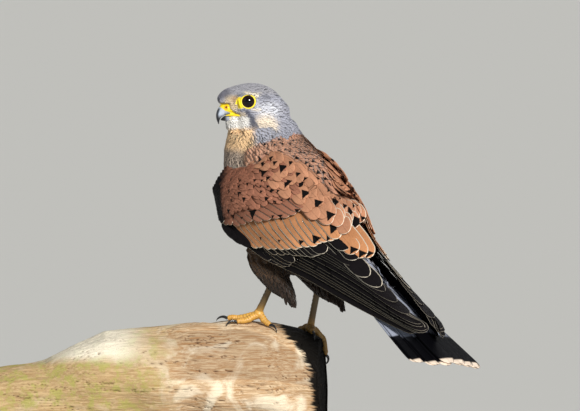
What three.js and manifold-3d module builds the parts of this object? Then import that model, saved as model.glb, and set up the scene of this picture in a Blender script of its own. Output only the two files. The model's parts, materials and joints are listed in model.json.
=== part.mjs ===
// A male common kestrel at life size, perched on the broken end of a dead branch that two short
// rods hold over a flat base. The bird looks over its left shoulder, with wings and tail folded.
// Millimetres, +Z up. Within the bird +X is the way its breast faces and +Y is its left side, and
// the zero of height is the top of the branch, until the whole model is set on its base.

import * as THREE from "three";
import { mergeVertices } from "three/addons/utils/BufferGeometryUtils.js";
import Module from "manifold-3d";

const wasm = await Module();
wasm.setup();

const GAP = 0.3;
const DEG = Math.PI / 180;

// Trunk: rings from under the skull down the neck and the body to the root of the tail. Each one
// runs from a point on its back to a point on its front, with its half width between them. The
// neck's rings are turned the way the head looks, and come round to the way the breast faces.
const TRUNK = [
  { back: [12, -7, 163], front: [29, 26, 163], half: 14 },
  { back: [8, -13, 156], front: [32, 30, 156], half: 18 },
  { back: [-1, -15, 149], front: [35, 27, 148], half: 23 },
  { back: [-14, -9, 140], front: [46, 17, 136], half: 27 },
  { back: [-37, 0, 126], front: [56, 2, 115], half: 30 },
  { back: [-53, 0, 111], front: [57, 0, 94], half: 31 },
  { back: [-65, 0, 97], front: [46, 0, 73], half: 31 },
  { back: [-75, 0, 84], front: [29, 0, 55], half: 29 },
  { back: [-83, 0, 72], front: [7, 0, 43], half: 26 },
  { back: [-90, 0, 63], front: [-20, 0, 37], half: 22 },
  { back: [-96, 0, 55], front: [-50, 0, 34], half: 18 },
  { back: [-103, 0, 49], front: [-80, 0, 33], half: 14 },
  { back: [-121, 0, 32.5], front: [-112, 0, 31], half: 6 },
];
const TRUNK_SQUARENESS = 2.3;
const HEAD_CUT = [[-0.1, -0.2, 1], [22, 11, 153.5]]; // each cut: its normal and a point on it
const NECK_CUT = [[0.2, 0, 1], [14, 0, 141]];
const TAIL_CUT = [[0.8, 0, 0.6], [-100, 0, 47]];

// Head: its middle, the way it looks, and stations from the forehead to the nape, each with its
// distance forward of the middle, its top and bottom above the middle, and its half width.
const HEAD_AT = [22, 11, 166];
const HEAD_TURN = 62;
const HEAD_DIP = 3;
const HEAD = [
  { at: 28.2, top: 8.8, bottom: 3.4, half: 5.6 },
  { at: 25.5, top: 12.4, bottom: 1, half: 9.4 },
  { at: 21.5, top: 15, bottom: -3, half: 11.4 },
  { at: 18.5, top: 16.1, bottom: -10.5, half: 12.4 },
  { at: 13, top: 17.4, bottom: -15, half: 14.4 },
  { at: 4, top: 18.7, bottom: -17.5, half: 16.4 },
  { at: -6, top: 17.5, bottom: -18, half: 17 },
  { at: -15, top: 13.2, bottom: -17, half: 16 },
  { at: -21.5, top: 7, bottom: -15, half: 13 },
  { at: -25.5, top: -2, bottom: -11, half: 7 },
];

// Eyes: the middle of the left one from the middle of the head, and its lids and brow.
const EYE = { at: [6.2, 10.4, 4.4], radius: 6.3, opening: 4.7, lid: 0.85, brow: 1.7 };

// Bill: stations from base to tip, each with its ridge and its cutting edge as [forward, up].
const BILL_UPPER = [
  { ridge: [16, 4.6], edge: [13, -5.6], half: 8.2 },
  { ridge: [21.5, 3.5], edge: [19, -5.2], half: 6 },
  { ridge: [25.4, 2.3], edge: [22.6, -5.2], half: 4.7 },
  { ridge: [28.2, -0.8], edge: [24.6, -6.6], half: 3.5 },
  { ridge: [29.7, -4.8], edge: [26, -7], half: 2.6 },
  { ridge: [29.6, -8.6], edge: [27.3, -9.4], half: 1.5 },
  { ridge: [28.4, -12.1], edge: [27.9, -12.4], half: 0.4 },
];
const BILL_LOWER = [
  { ridge: [12.6, -6.4], edge: [12, -10.6], half: 7.6 },
  { ridge: [18.5, -5.9], edge: [17.5, -10.7], half: 5.4 },
  { ridge: [22, -5.9], edge: [21.5, -10.4], half: 4.2 },
  { ridge: [24.6, -7.3], edge: [24.4, -10], half: 2.9 },
  { ridge: [26.4, -8.8], edge: [26.2, -9.5], half: 1.1 },
];
const NOSTRIL = { at: [22.7, 5, 0.2], radius: 0.9 };

// Folded wing: the left wing's outer surface from the wrist to the tip. Each row crosses it from
// the lower, leading edge over the middle to the upper edge.
const WING = [
  [[48, 28, 93], [47, 31, 109], [30, 25, 130]],
  [[21, 38, 73], [4, 41, 100], [-25, 23, 126]],
  [[-22, 36, 54], [-41, 38, 77], [-69, 19, 95]],
  [[-61, 31, 43], [-75, 30, 58], [-95, 14, 71]],
  [[-114, 28, 25], [-117, 27, 38], [-119, 17, 50]],
  [[-168, 22, 8], [-168, 22, 15], [-165, 16, 21]],
  [[-189, 12, 1], [-193, 13, 4], [-190, 11, 8]],
];
const WING_ARM = { reach: 0.5, deep: 17, edge: 1.6, round: 2.5, rows: 8, cols: 5 };
const RIGHT_WING_DROP = [3, -13, -6]; // the right wing's tip lies lower and nearer the middle

// Tail: half its width at root and tip, how far its outer feathers lie below the middle ones, and
// the line of its upper side as [x, z].
const TAIL = { root: [-97, 52], tip: [-197, -20], rootHalf: 12, tipHalf: 25, aside: -6.5, droop: 1, pairs: 6 };
const TAIL_VANE = { width: 12, thick: 0.55, step: 0.95, graded: 6 };

// Legs: heel and ankle of each leg, and the way its foot points.
const LEGS = {
  left: { hip: [0, 17, 62], heel: [-15, 20, 38], ankle: [5, 20, 8.5], hang: [-38, 21, 18] },
  right: { hip: [-2, -17, 61], heel: [-20, -20, 34], ankle: [-9, -20, -4], hang: [-49, -19, 13] },
};
const SHANK = 2.5;

// Toes: inner, middle, outer and hind, with their length, the bearing of each from the way the
// breast faces, their girth at root and tip, and the drop of their ends.
const TOES = {
  left: [
    { name: "inner", length: 18, bearing: 6, drop: 9 },
    { name: "middle", length: 25, bearing: 42, drop: 5 },
    { name: "outer", length: 20, bearing: 66, drop: 9 },
    { name: "hind", length: 14, bearing: 192, drop: 9 },
  ],
  right: [
    { name: "inner", length: 18, bearing: -4, drop: 9 },
    { name: "middle", length: 25, bearing: -40, drop: 9 },
    { name: "outer", length: 25, bearing: -88, drop: 19 },
    { name: "hind", length: 15, bearing: 150, drop: 9 },
  ],
};
const TOE_ROOT = 3;
const TOE_TIP = 2;
const CLAW = { length: 9.5, radius: 1.35, bend: 80, leastBend: 10, clear: 0.6 };

// Branch: rings along its length, from the broken end to the sawn end, each with its place along
// the branch, the height of its top, its half width and its half depth.
const BRANCH_BEARING = 50;
const BRANCH = [
  { at: -44, top: -26, half: 30, deep: 31 },
  { at: -28, top: -11, half: 35, deep: 37 },
  { at: -11, top: -4, half: 37, deep: 41 },
  { at: 10, top: 0.5, half: 38, deep: 42 },
  { at: 36, top: 2, half: 39, deep: 43 },
  { at: 62, top: 1, half: 38, deep: 42 },
  { at: 88, top: -2, half: 38, deep: 40 },
  { at: 112, top: -4, half: 37, deep: 39 },
  { at: 137, top: -6.5, half: 36, deep: 38 },
  { at: 160, top: -17, half: 33, deep: 34 },
  { at: 183, top: -28.5, half: 30, deep: 29 },
  { at: 219, top: -34.5, half: 27, deep: 26 },
];
// The break: slanted faces that take off the branch's end, each as its normal and a point on it.
const BRANCH_BREAKS = [
  [[-0.99, 0.1, 0.03], [-31, -10, -20]],
  [[-0.62, 0.52, 0.59], [-18, 26, -20]],
];
const BRANCH_SIDES = 16;
const BRANCH_ROUGH = 1.8;
const BRANCH_FLOOR = -80;

// Stand: a flat base under the branch and two upright rods.
const STAND = { length: 220, width: 120, corner: 16, thick: 12, bevel: 1.5, rodRadius: 5, rodHeight: 30 };
const STAND_CENTRE = 56;
const ROD_SPREAD = 50;

const MATERIALS = {
  plumageGrey: [0x8f93a0, 0.85],
  plumageRufous: [0xa9694a, 0.85],
  plumageBuff: [0xc9a67c, 0.9],
  plumageDark: [0x2b2726, 0.75],
  tailGrey: [0x8d9299, 0.8],
  horn: [0x8b98a6, 0.35],
  claw: [0x17181b, 0.3],
  eye: [0x120d0a, 0.05],
  scale: [0xd9a02c, 0.55],
  wood: [0xc79a6a, 0.9],
  base: [0x3a2a1e, 0.5],
  steel: [0x2e3033, 0.35],
};

function materialOf(name) {
  const [color, roughness] = MATERIALS[name];
  return new THREE.MeshStandardMaterial({ color, roughness, metalness: name === "steel" ? 0.8 : 0 });
}

function point(p) {
  return new THREE.Vector3(p[0], p[1], p[2]);
}

function blend(a, b, t) {
  return a + (b - a) * t;
}

// A Catmull-Rom curve through a list of equal lists of numbers, at t from 0 to 1.
function along(list, t) {
  const last = list.length - 1;
  const place = Math.min(Math.max(t, 0), 1) * last;
  const i = Math.min(Math.floor(place), last - 1);
  const k = place - i;
  return list[0].map((unused, n) => {
    const b = list[i][n];
    const c = list[i + 1][n];
    const a = i > 0 ? list[i - 1][n] : 2 * b - c;
    const d = i + 2 <= last ? list[i + 2][n] : 2 * c - b;
    const cubic = (3 * b - a - 3 * c + d) * k ** 3 + (2 * a - 5 * b + 4 * c - d) * k * k;
    return 0.5 * (cubic + (c - a) * k + 2 * b);
  });
}

// A closed surface as a solid.
function solidOf(geometry) {
  geometry.deleteAttribute("normal");
  geometry.deleteAttribute("uv");
  const merged = mergeVertices(geometry, 1e-4);
  return new wasm.Manifold(
    new wasm.Mesh({
      numProp: 3,
      vertProperties: merged.attributes.position.array,
      triVerts: new Uint32Array(merged.index.array),
    }),
  );
}

function geometryOf(points, index) {
  const flat = new Float32Array(points.flatMap((p) => [p.x, p.y, p.z]));
  const geometry = new THREE.BufferGeometry();
  geometry.setAttribute("position", new THREE.BufferAttribute(flat, 3));
  geometry.setIndex(index);
  return geometry;
}

// A skin over rings of equal count, closed at both ends by a fan to each end's middle.
function loft(rings) {
  const n = rings[0].length;
  const points = rings.flat();
  const index = [];
  for (let r = 0; r + 1 < rings.length; r++)
    for (let i = 0; i < n; i++) {
      const a = r * n + i;
      const b = r * n + ((i + 1) % n);
      index.push(a, b, a + n, b, b + n, a + n);
    }
  for (const r of [0, rings.length - 1]) {
    const middle = rings[r].reduce((sum, p) => sum.add(p), new THREE.Vector3()).divideScalar(n);
    points.push(middle);
    for (let i = 0; i < n; i++) {
      const a = r * n + i;
      const b = r * n + ((i + 1) % n);
      index.push(...(r === 0 ? [points.length - 1, b, a] : [points.length - 1, a, b]));
    }
  }
  return facingOut(solidOf(geometryOf(points, index)), points, index);
}

function facingOut(made, points, index) {
  if (made.volume() > 0) return made;
  const turned = [];
  for (let i = 0; i < index.length; i += 3) turned.push(index[i], index[i + 2], index[i + 1]);
  return solidOf(geometryOf(points, turned));
}

// A sheet of even or varying thickness over a grid of points, split alike on both of its faces.
// inner and outer are the grid's offsets along each point's normal.
function sheet(grid) {
  const rows = grid.length;
  const cols = grid[0].length;
  const points = [];
  for (const side of ["outer", "inner"])
    for (const row of grid)
      for (const g of row) points.push(g.at.clone().addScaledVector(g.normal, g[side]));
  const back = rows * cols;
  const index = [];
  for (let r = 0; r + 1 < rows; r++)
    for (let c = 0; c + 1 < cols; c++) {
      const a = r * cols + c;
      const b = a + 1;
      const d = a + cols;
      const e = d + 1;
      index.push(a, d, b, b, d, e);
      index.push(back + a, back + b, back + d, back + b, back + e, back + d);
    }
  const rim = [];
  for (let c = 0; c < cols; c++) rim.push(c);
  for (let r = 1; r < rows; r++) rim.push(r * cols + cols - 1);
  for (let c = cols - 2; c >= 0; c--) rim.push((rows - 1) * cols + c);
  for (let r = rows - 2; r > 0; r--) rim.push(r * cols);
  rim.forEach((a, i) => {
    const b = rim[(i + 1) % rim.length];
    index.push(a, b, back + a, b, back + b, back + a);
  });
  return facingOut(solidOf(geometryOf(points, index)), points, index);
}

function union(solids) {
  return solids.reduce((sum, s) => sum.add(s));
}

// The largest closed surface of a solid, so that fused hollows are filled and scraps are dropped.
function largest(made) {
  const parts = made.decompose();
  return parts.reduce((best, p) => (p.volume() > best.volume() ? p : best));
}

// A ring of a rounded, slightly squared section between two opposite points of its outline.
function sectionRing(back, front, side, squareness, sides) {
  const middle = back.clone().add(front).multiplyScalar(0.5);
  const reach = front.clone().sub(middle);
  const ring = [];
  for (let i = 0; i < sides; i++) {
    const angle = (i / sides) * 2 * Math.PI;
    const c = Math.cos(angle);
    const s = Math.sin(angle);
    const scale = (Math.abs(c) ** squareness + Math.abs(s) ** squareness) ** (-1 / squareness);
    ring.push(
      middle.clone().addScaledVector(reach, c * scale).addScaledVector(side, s * scale),
    );
  }
  return ring;
}

function trunkSolid(grow) {
  const list = TRUNK.map((s) => [...s.back, ...s.front, s.half]);
  const rings = [];
  const steps = 26;
  for (let i = 0; i <= steps; i++) {
    const ring = along(list, i / steps);
    const back = point(ring.slice(0, 3));
    const front = point(ring.slice(3, 6));
    const out = front.clone().sub(back).normalize();
    const side = new THREE.Vector3(-out.y, out.x, 0).normalize().multiplyScalar(ring[6] + grow);
    back.addScaledVector(out, -grow);
    front.addScaledVector(out, grow);
    rings.push(sectionRing(back, front, side, TRUNK_SQUARENESS, 24));
  }
  return loft(rings);
}

// Head frame: +X forward along the bill, +Y the head's left, +Z up.
function headMatrix() {
  const turn = new THREE.Matrix4().makeRotationZ(HEAD_TURN * DEG);
  const dip = new THREE.Matrix4().makeRotationY(HEAD_DIP * DEG);
  const place = new THREE.Matrix4().makeTranslation(...HEAD_AT);
  return place.multiply(turn).multiply(dip);
}

function placed(made, matrix) {
  return made.transform(matrix.elements);
}

function headSolid(grow) {
  const list = HEAD.map((s) => [s.at, s.top, s.bottom, s.half]);
  const rings = [];
  const steps = 14;
  for (let i = 0; i <= steps; i++) {
    const [at, top, bottom, half] = along(list, i / steps);
    const end = i === 0 ? grow : i === steps ? -grow : 0;
    const side = new THREE.Vector3(0, half + grow, 0);
    const crown = new THREE.Vector3(at + end, 0, top + grow);
    rings.push(sectionRing(crown, new THREE.Vector3(at + end, 0, bottom - grow), side, 2.2, 20));
  }
  return loft(rings);
}

function ball(radius, across, down) {
  return solidOf(new THREE.SphereGeometry(radius, across, down));
}

function eyeMatrix(side) {
  return new THREE.Matrix4().makeTranslation(EYE.at[0], side * EYE.at[1], EYE.at[2]);
}

// A ring of lid round the opening of one eye, with the heavy brow of a falcon above it.
function lids(side) {
  const outward = new THREE.Vector3(0.22, side, 0.06).normalize();
  const reach = Math.sqrt(EYE.radius ** 2 - EYE.opening ** 2);
  const ring = new THREE.TorusGeometry(EYE.opening, EYE.lid, 6, 20);
  ring.applyQuaternion(new THREE.Quaternion().setFromUnitVectors(new THREE.Vector3(0, 0, 1), outward));
  const eye = point([EYE.at[0], side * EYE.at[1], EYE.at[2]]);
  const lidAt = eye.clone().addScaledVector(outward, reach);
  ring.translate(lidAt.x, lidAt.y, lidAt.z);
  const rings = [];
  const steps = 6;
  for (let i = 0; i <= steps; i++) {
    const t = i / steps;
    const girth = EYE.brow * (0.35 + 0.65 * Math.sin(Math.PI * blend(0.1, 0.9, t)));
    const at = eye.clone();
    at.x += blend(8.5, -7, t);
    at.y += side * (blend(2.2, 5.4, t) + 0.6 * Math.sin(Math.PI * t));
    at.z += 4.8 + 1.2 * Math.sin(Math.PI * t);
    rings.push(roundRing(at, new THREE.Vector3(1, 0, 0), girth, 6));
  }
  return [solidOf(ring), loft(rings)];
}

function roundRing(at, ahead, radius, sides) {
  const upright = Math.abs(ahead.z) > 0.95 ? new THREE.Vector3(1, 0, 0) : new THREE.Vector3(0, 0, 1);
  const side = new THREE.Vector3().crossVectors(upright, ahead).normalize();
  const up = new THREE.Vector3().crossVectors(ahead, side).normalize();
  const ring = [];
  for (let i = 0; i < sides; i++) {
    const angle = (i / sides) * 2 * Math.PI;
    const c = Math.cos(angle) * radius;
    const s = Math.sin(angle) * radius;
    ring.push(at.clone().addScaledVector(side, c).addScaledVector(up, s));
  }
  return ring;
}

function billSolid(stations, squareness) {
  const list = stations.map((s) => [...s.ridge, ...s.edge, s.half]);
  const rings = [];
  const steps = 10;
  for (let i = 0; i <= steps; i++) {
    const [rx, rz, ex, ez, half] = along(list, i / steps);
    const ridge = new THREE.Vector3(rx, 0, rz);
    const edge = new THREE.Vector3(ex, 0, ez);
    rings.push(sectionRing(ridge, edge, new THREE.Vector3(0, Math.max(half, 0.3), 0), squareness, 12));
  }
  return loft(rings);
}

// The folded wing's outer surface: a runs from the wrist to the tip, b from the lower edge to the
// upper one. side is 1 for the left wing and -1 for the right.
function wingPoint(a, b, side) {
  const across = [0, 1, 2].map((column) => along(WING.map((row) => row[column]), a));
  const [x, y, z] = along(across, b);
  const drop = side < 0 ? a * a : 0;
  return new THREE.Vector3(
    x + drop * RIGHT_WING_DROP[0],
    side * (y + drop * RIGHT_WING_DROP[1]),
    z + drop * RIGHT_WING_DROP[2],
  );
}

function wingNormal(a, b, side) {
  const step = 0.01;
  const u = wingPoint(Math.min(a + step, 1), b, side).sub(wingPoint(Math.max(a - step, 0), b, side));
  const v = wingPoint(a, Math.min(b + step, 1), side).sub(wingPoint(a, Math.max(b - step, 0), side));
  const normal = new THREE.Vector3().crossVectors(u, v).normalize();
  return normal.y * side < 0 ? normal.negate() : normal;
}

function wingArm(side) {
  const { reach, deep, edge, round, rows, cols } = WING_ARM;
  const grid = [];
  for (let r = 0; r <= rows; r++) {
    const row = [];
    for (let c = 0; c <= cols; c++) {
      const a = (r / rows) ** 1.3 * reach;
      const b = c / cols;
      const fullness = Math.sin(Math.PI * blend(0.08, 0.8, b)) * (1 - (r / rows) ** 2 * 0.9);
      const rim = Math.max(1 - r, 0) + Math.max(1 - c, 0) * 0.6;
      const inner = -edge - deep * fullness * (r === 0 ? 0.5 : 1) - rim * round * 0.5;
      row.push({ at: wingPoint(a, b, side), normal: wingNormal(a, b, side), outer: -rim * round, inner });
    }
    grid.push(row);
  }
  return sheet(grid);
}

// One vane on the wing, from its root to its tip, both as [a, b] on the wing's surface. It lifts
// from tier.rootLift to lift above that surface, and tilts so that the edge that lies lower on the
// wing stands proud and the other one is tucked under the next vane.
function wingVane(side, root, tip, lift, width, tier) {
  const grid = tier.shape.map(([t, spread]) => {
    const onWing = (k) => {
      const a = blend(root[0], tip[0], k);
      const b = Math.min(blend(root[1], tip[1], k), 1);
      return wingPoint(a, b, side);
    };
    const at = onWing(t);
    const ahead = onWing(Math.min(t, 0.96) + 0.04).sub(onWing(Math.min(t, 0.96)));
    const a = Math.min(blend(root[0], tip[0], t), 0.985);
    const b = Math.min(Math.max(blend(root[1], tip[1], t), 0.02), 0.98);
    const normal = wingNormal(a, b, side);
    const up = new THREE.Vector3().crossVectors(normal, ahead).normalize().multiplyScalar(side);
    const row = [];
    for (let c = 0; c < tier.columns; c++) {
      const s = (2 * c) / (tier.columns - 1) - 1;
      const tuck = s * tier.tilt * spread * Math.min(t * 3, 1);
      const height = blend(tier.rootLift, lift, t ** 0.8) - tuck;
      row.push({
        at: at.clone().addScaledVector(up, s * spread * width / 2).addScaledVector(normal, height),
        normal,
        outer: VANE_THICK / 2,
        inner: -VANE_THICK / 2,
      });
    }
    return row;
  });
  return sheet(grid);
}

const VANE_THICK = 0.55;
const LONG_VANE = [[0, 0.5], [0.45, 1], [0.85, 0.85], [1, 0.2]];
const BROAD_VANE = [[0, 0.6], [0.6, 1], [0.88, 0.85], [1, 0.35]];

// Tiers of the wing's vanes. Each tier is a row of like feathers, given by the root, tip, lift and
// width of its first and its last feather, with the others evenly spread between them.
const TIERS = {
  primaries: { count: 9, root: [[0.29, 0.1], [0.31, 0.5]], tip: [[0.995, 0.5], [0.6, 0.93]],
    rootLift: -1.5, lift: [0.2, 1.8], width: [9, 11], tilt: 1.6, shape: LONG_VANE, columns: 2 },
  secondaries: { count: 6, root: [[0.2, 0.3], [0.26, 0.8]], tip: [[0.47, 0.42], [0.6, 0.9]],
    rootLift: -1.5, lift: [2.8, 3.6], width: [12, 14], tilt: 1, shape: BROAD_VANE, columns: 2 },
  tertials: { count: 3, root: [[0.24, 0.8], [0.28, 0.97]], tip: [[0.5, 0.78], [0.545, 0.98]],
    rootLift: -1, lift: [4.6, 5.4], width: [15, 16], tilt: 1, shape: BROAD_VANE, columns: 2 },
  greaterCoverts: { count: 8, root: [[0.15, 0.1], [0.28, 0.8]], tip: [[0.27, 0.07], [0.45, 0.86]],
    rootLift: -1, lift: [3.6, 5.4], width: [10, 12], tilt: 0.9, shape: BROAD_VANE, columns: 2 },
  medianCoverts: { count: 6, root: [[0.1, 0.2], [0.19, 0.8]], tip: [[0.2, 0.18], [0.31, 0.78]],
    rootLift: -1, lift: [2.6, 3.4], width: [10, 12], tilt: 0.8, shape: BROAD_VANE, columns: 2 },
  scapulars: { count: 5, root: [[0.03, 0.92], [0.27, 0.95]], tip: [[0.15, 0.88], [0.42, 0.97]],
    rootLift: -1, lift: [2.4, 5.4], width: [16, 19], tilt: 0.8, shape: BROAD_VANE, columns: 2 },
  primaryCoverts: { count: 3, root: [[0.25, 0.05], [0.29, 0.18]], tip: [[0.38, 0.04], [0.47, 0.12]],
    rootLift: -0.5, lift: [3, 4], width: [7, 8], tilt: 0.8, shape: LONG_VANE, columns: 2 },
};
const OUTER_PRIMARY = { root: [0.28, 0.14], tip: [0.93, 0.25] }; // shorter than the one beside it

function wingVanes(side) {
  const vanes = [];
  for (const [name, tier] of Object.entries(TIERS))
    for (let i = 0; i < tier.count; i++) {
      const t = i / (tier.count - 1);
      const outermost = name === "primaries" && i === 0;
      const between = (ends) => ends[0].map((n, k) => blend(n, ends[1][k], t));
      const root = outermost ? OUTER_PRIMARY.root : between(tier.root);
      const tip = outermost ? OUTER_PRIMARY.tip : between(tier.tip);
      vanes.push(wingVane(side, root, tip, blend(...tier.lift, t), blend(...tier.width, t), tier));
    }
  return vanes;
}

function wingSolid(side, body) {
  return largest(union([wingArm(side), ...wingVanes(side)]).subtract(body));
}

// One tail feather: k counts from the middle pair, which lies on top, to the outermost.
const TAIL_SHAPE = [[0, 0.5], [0.45, 0.95], [0.9, 1], [1, 0.6]];

function tailVane(side, k, grow) {
  const { root, tip, rootHalf, tipHalf, aside, droop, pairs } = TAIL;
  const out = (k + 0.5) / pairs;
  const short = TAIL_VANE.graded * out * out;
  const layer = k > 0 ? k + 1 : side < 0 ? 1 : 0;
  const [run, fall] = [root[0] - tip[0], root[1] - tip[1]];
  const lean = 0.08 * out;
  const normal = new THREE.Vector3(-fall, side * lean * run, run).normalize();
  const grid = TAIL_SHAPE.map(([t, spread]) => {
    const x = blend(root[0] + 6, tip[0] + short, t);
    const under = layer * TAIL_VANE.step + droop * out * out * t;
    const z = blend(root[1] - 3, tip[1] + (short * fall) / run, t) - under;
    const y = side * out * blend(rootHalf, tipHalf, t ** 0.75) + aside * t;
    const half = (TAIL_VANE.width / 2) * spread + grow;
    return [-1, 1].map((s) => ({
      at: new THREE.Vector3(x, y + s * half, z - side * s * half * lean),
      normal,
      outer: TAIL_VANE.thick / 2 + grow,
      inner: -TAIL_VANE.thick / 2 - grow,
    }));
  });
  return sheet(grid);
}

function tailFan(grow) {
  const vanes = [];
  for (const side of [-1, 1]) for (let k = 0; k < TAIL.pairs; k++) vanes.push(tailVane(side, k, grow));
  return union(vanes);
}

function thighSolid(leg, grow) {
  const list = [
    [leg.hip[0] + 2, leg.hip[1], leg.hip[2], 18, 13],
    [leg.hip[0] - 2, blend(leg.hip[1], leg.heel[1], 0.5), blend(leg.hip[2], leg.heel[2], 0.5), 17, 12.5],
    [leg.heel[0] + 4, leg.heel[1], leg.heel[2] + 1, 13, 11],
    [blend(leg.heel[0], leg.hang[0], 0.4), leg.hang[1], blend(leg.heel[2], leg.hang[2], 0.5), 9, 8.5],
    [blend(leg.heel[0], leg.hang[0], 0.8), leg.hang[1], blend(leg.heel[2], leg.hang[2], 0.8), 4.5, 5],
    [leg.hang[0], leg.hang[1], leg.hang[2], 1, 1.4],
  ];
  const rings = [];
  const steps = 10;
  for (let i = 0; i <= steps; i++) {
    const [x, y, z, deep, half] = along(list, i / steps);
    const ahead = new THREE.Vector3(0.92, 0, -0.39).multiplyScalar(deep + grow);
    const middle = new THREE.Vector3(x, y, z);
    const side = new THREE.Vector3(0, half + grow, 0);
    rings.push(sectionRing(middle.clone().sub(ahead), middle.clone().add(ahead), side, 2, 14));
  }
  return loft(rings);
}

// A round limb through a list of [x, y, z, radius].
function limb(list, steps, sides) {
  const rings = [];
  for (let i = 0; i <= steps; i++) {
    const t = i / steps;
    const [x, y, z, radius] = along(list, t);
    const next = along(list, Math.min(t + 0.02, 1));
    const before = along(list, Math.max(t - 0.02, 0));
    const ahead = new THREE.Vector3(next[0] - before[0], next[1] - before[1], next[2] - before[2]);
    rings.push(roundRing(new THREE.Vector3(x, y, z), ahead.normalize(), radius, sides));
  }
  return loft(rings);
}

function shankSolid(leg) {
  const { heel, ankle } = leg;
  return limb(
    [
      [...heel, SHANK * 1.25],
      [...heel.map((n, i) => blend(n, ankle[i], 0.3)), SHANK],
      [...heel.map((n, i) => blend(n, ankle[i], 0.75)), SHANK],
      [...heel.map((n, i) => blend(n, ankle[i], 0.94)), SHANK * 1.1],
    ],
    6,
    8,
  );
}

// The height of the branch's upper side under a place, or far below where the branch has ended.
function branchTop(x, y) {
  const c = Math.cos(BRANCH_BEARING * DEG);
  const s = Math.sin(BRANCH_BEARING * DEG);
  const at = x * c + y * s;
  const across = y * c - x * s;
  const after = Math.max(BRANCH.findIndex((ring) => ring.at > at), 1);
  const [a, b] = [BRANCH[after - 1], BRANCH[after]];
  const t = (at - a.at) / (b.at - a.at);
  const [top, half, deep] = ["top", "half", "deep"].map((key) => blend(a[key], b[key], t));
  const round = top - deep + deep * Math.sqrt(Math.max(1 - (across / half) ** 2, 0));
  const cuts = BRANCH_BREAKS.map(([out, through]) => {
    const [dx, dy] = [at - through[0], across - through[1]];
    return through[2] - (out[0] * dx + out[1] * dy) / out[2];
  });
  return Math.min(round, ...cuts);
}

// The curve of a toe: it leaves the ankle, arches a little over its joints and lies along the
// branch, or hangs down past its end. Each point also holds the toe's girth.
function toePath(leg, toe) {
  const [x, y, z] = leg.ankle;
  const c = Math.cos(toe.bearing * DEG);
  const s = Math.sin(toe.bearing * DEG);
  const level = Math.sqrt(Math.max(toe.length ** 2 - toe.drop ** 2, 9));
  const girths = [TOE_ROOT * 1.1, TOE_ROOT, TOE_ROOT * 0.86, TOE_TIP * 1.15, TOE_TIP];
  const places = [0, 0.3, 0.62, 0.85, 1];
  const arch = [0, 1.6, 0.6, 1, 0.4];
  return places.map((f, i) => {
    const px = x + c * level * f;
    const py = y + s * level * f;
    if (i === 0) return [px, py, z - 1.5, girths[0]];
    const resting = branchTop(px, py) + girths[i] * 0.9 + arch[i];
    return [px, py, Math.max(resting, z - 2 - f * 2 - toe.drop * f ** 1.7), girths[i]];
  });
}

function footSolid(leg, toes, branch) {
  const parts = toes.map((toe) => limb(toePath(leg, toe), 6, 6));
  const hub = ball(TOE_ROOT * 1.35, 8, 6).translate(leg.ankle[0], leg.ankle[1], leg.ankle[2] - 1.5);
  return largest(union([hub, ...parts]).subtract(branch));
}

// A claw carries on from the end of its toe and hooks down by a bend in degrees.
function clawPath(leg, toe, bend) {
  const path = toePath(leg, toe);
  const [x, y, z] = path[4];
  const level = Math.hypot(x - path[3][0], y - path[3][1]);
  const slope = Math.atan2(z - path[3][2], level);
  const c = Math.cos(toe.bearing * DEG);
  const s = Math.sin(toe.bearing * DEG);
  const steps = 5;
  const list = [];
  let reach = Math.cos(slope) * (GAP + 0.1) - Math.sin(slope) * 0.5;
  let height = Math.sin(slope) * (GAP + 0.1) + Math.cos(slope) * 0.5;
  for (let i = 0; i <= steps; i++) {
    const t = i / steps;
    list.push([x + c * reach, y + s * reach, z + height, blend(CLAW.radius, 0.3, t ** 1.3)]);
    const angle = slope - bend * DEG * t;
    reach += (Math.cos(angle) * CLAW.length) / steps;
    height += (Math.sin(angle) * CLAW.length) / steps;
  }
  return list;
}

// The claw bends as far as the branch under it lets it.
function clawSolid(leg, toe) {
  let bend = CLAW.bend;
  const sunk = ([x, y, z, girth]) => branchTop(x, y) + girth + CLAW.clear > z;
  while (bend > CLAW.leastBend && clawPath(leg, toe, bend).some(sunk)) bend -= 5;
  return limb(clawPath(leg, toe, bend), 5, 6);
}

// Branch frame: +X along the branch to its sawn end, +Y to the side the bird's back is on.
function branchMatrix() {
  return new THREE.Matrix4().makeRotationZ(BRANCH_BEARING * DEG);
}

function branchSolid(grow) {
  const list = BRANCH.map((s) => [s.at, s.top, s.half, s.deep]);
  const rings = [];
  const steps = 18;
  for (let i = 0; i <= steps; i++) {
    const [at, top, half, deep] = along(list, i / steps);
    const ring = [];
    for (let k = 0; k < BRANCH_SIDES; k++) {
      const angle = (k / BRANCH_SIDES) * 2 * Math.PI;
      const rough = 1 + (BRANCH_ROUGH / half) * Math.sin(angle * 3 + at * 0.05) * Math.cos(angle * 5 - at * 0.09);
      const c = Math.cos(angle) * (half * rough + grow);
      const s = Math.sin(angle) * (deep * (rough > 1 && angle < 3 ? 1 : rough) + grow);
      ring.push(new THREE.Vector3(at + (i === 0 ? -grow : 0), c, top - deep + s));
    }
    rings.push(ring);
  }
  let made = loft(rings).trimByPlane([0, 0, 1], BRANCH_FLOOR - grow);
  for (const [slant, through] of BRANCH_BREAKS) {
    const out = point(slant).normalize();
    made = made.trimByPlane(out.clone().negate().toArray(), -out.dot(point(through)) - grow);
  }
  return placed(made, branchMatrix());
}

function rodSolid(radius, low, high) {
  const rod = new THREE.CylinderGeometry(radius, radius, high - low, 20);
  rod.rotateX(Math.PI / 2);
  rod.translate(0, 0, (high + low) / 2);
  return solidOf(rod);
}

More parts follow.
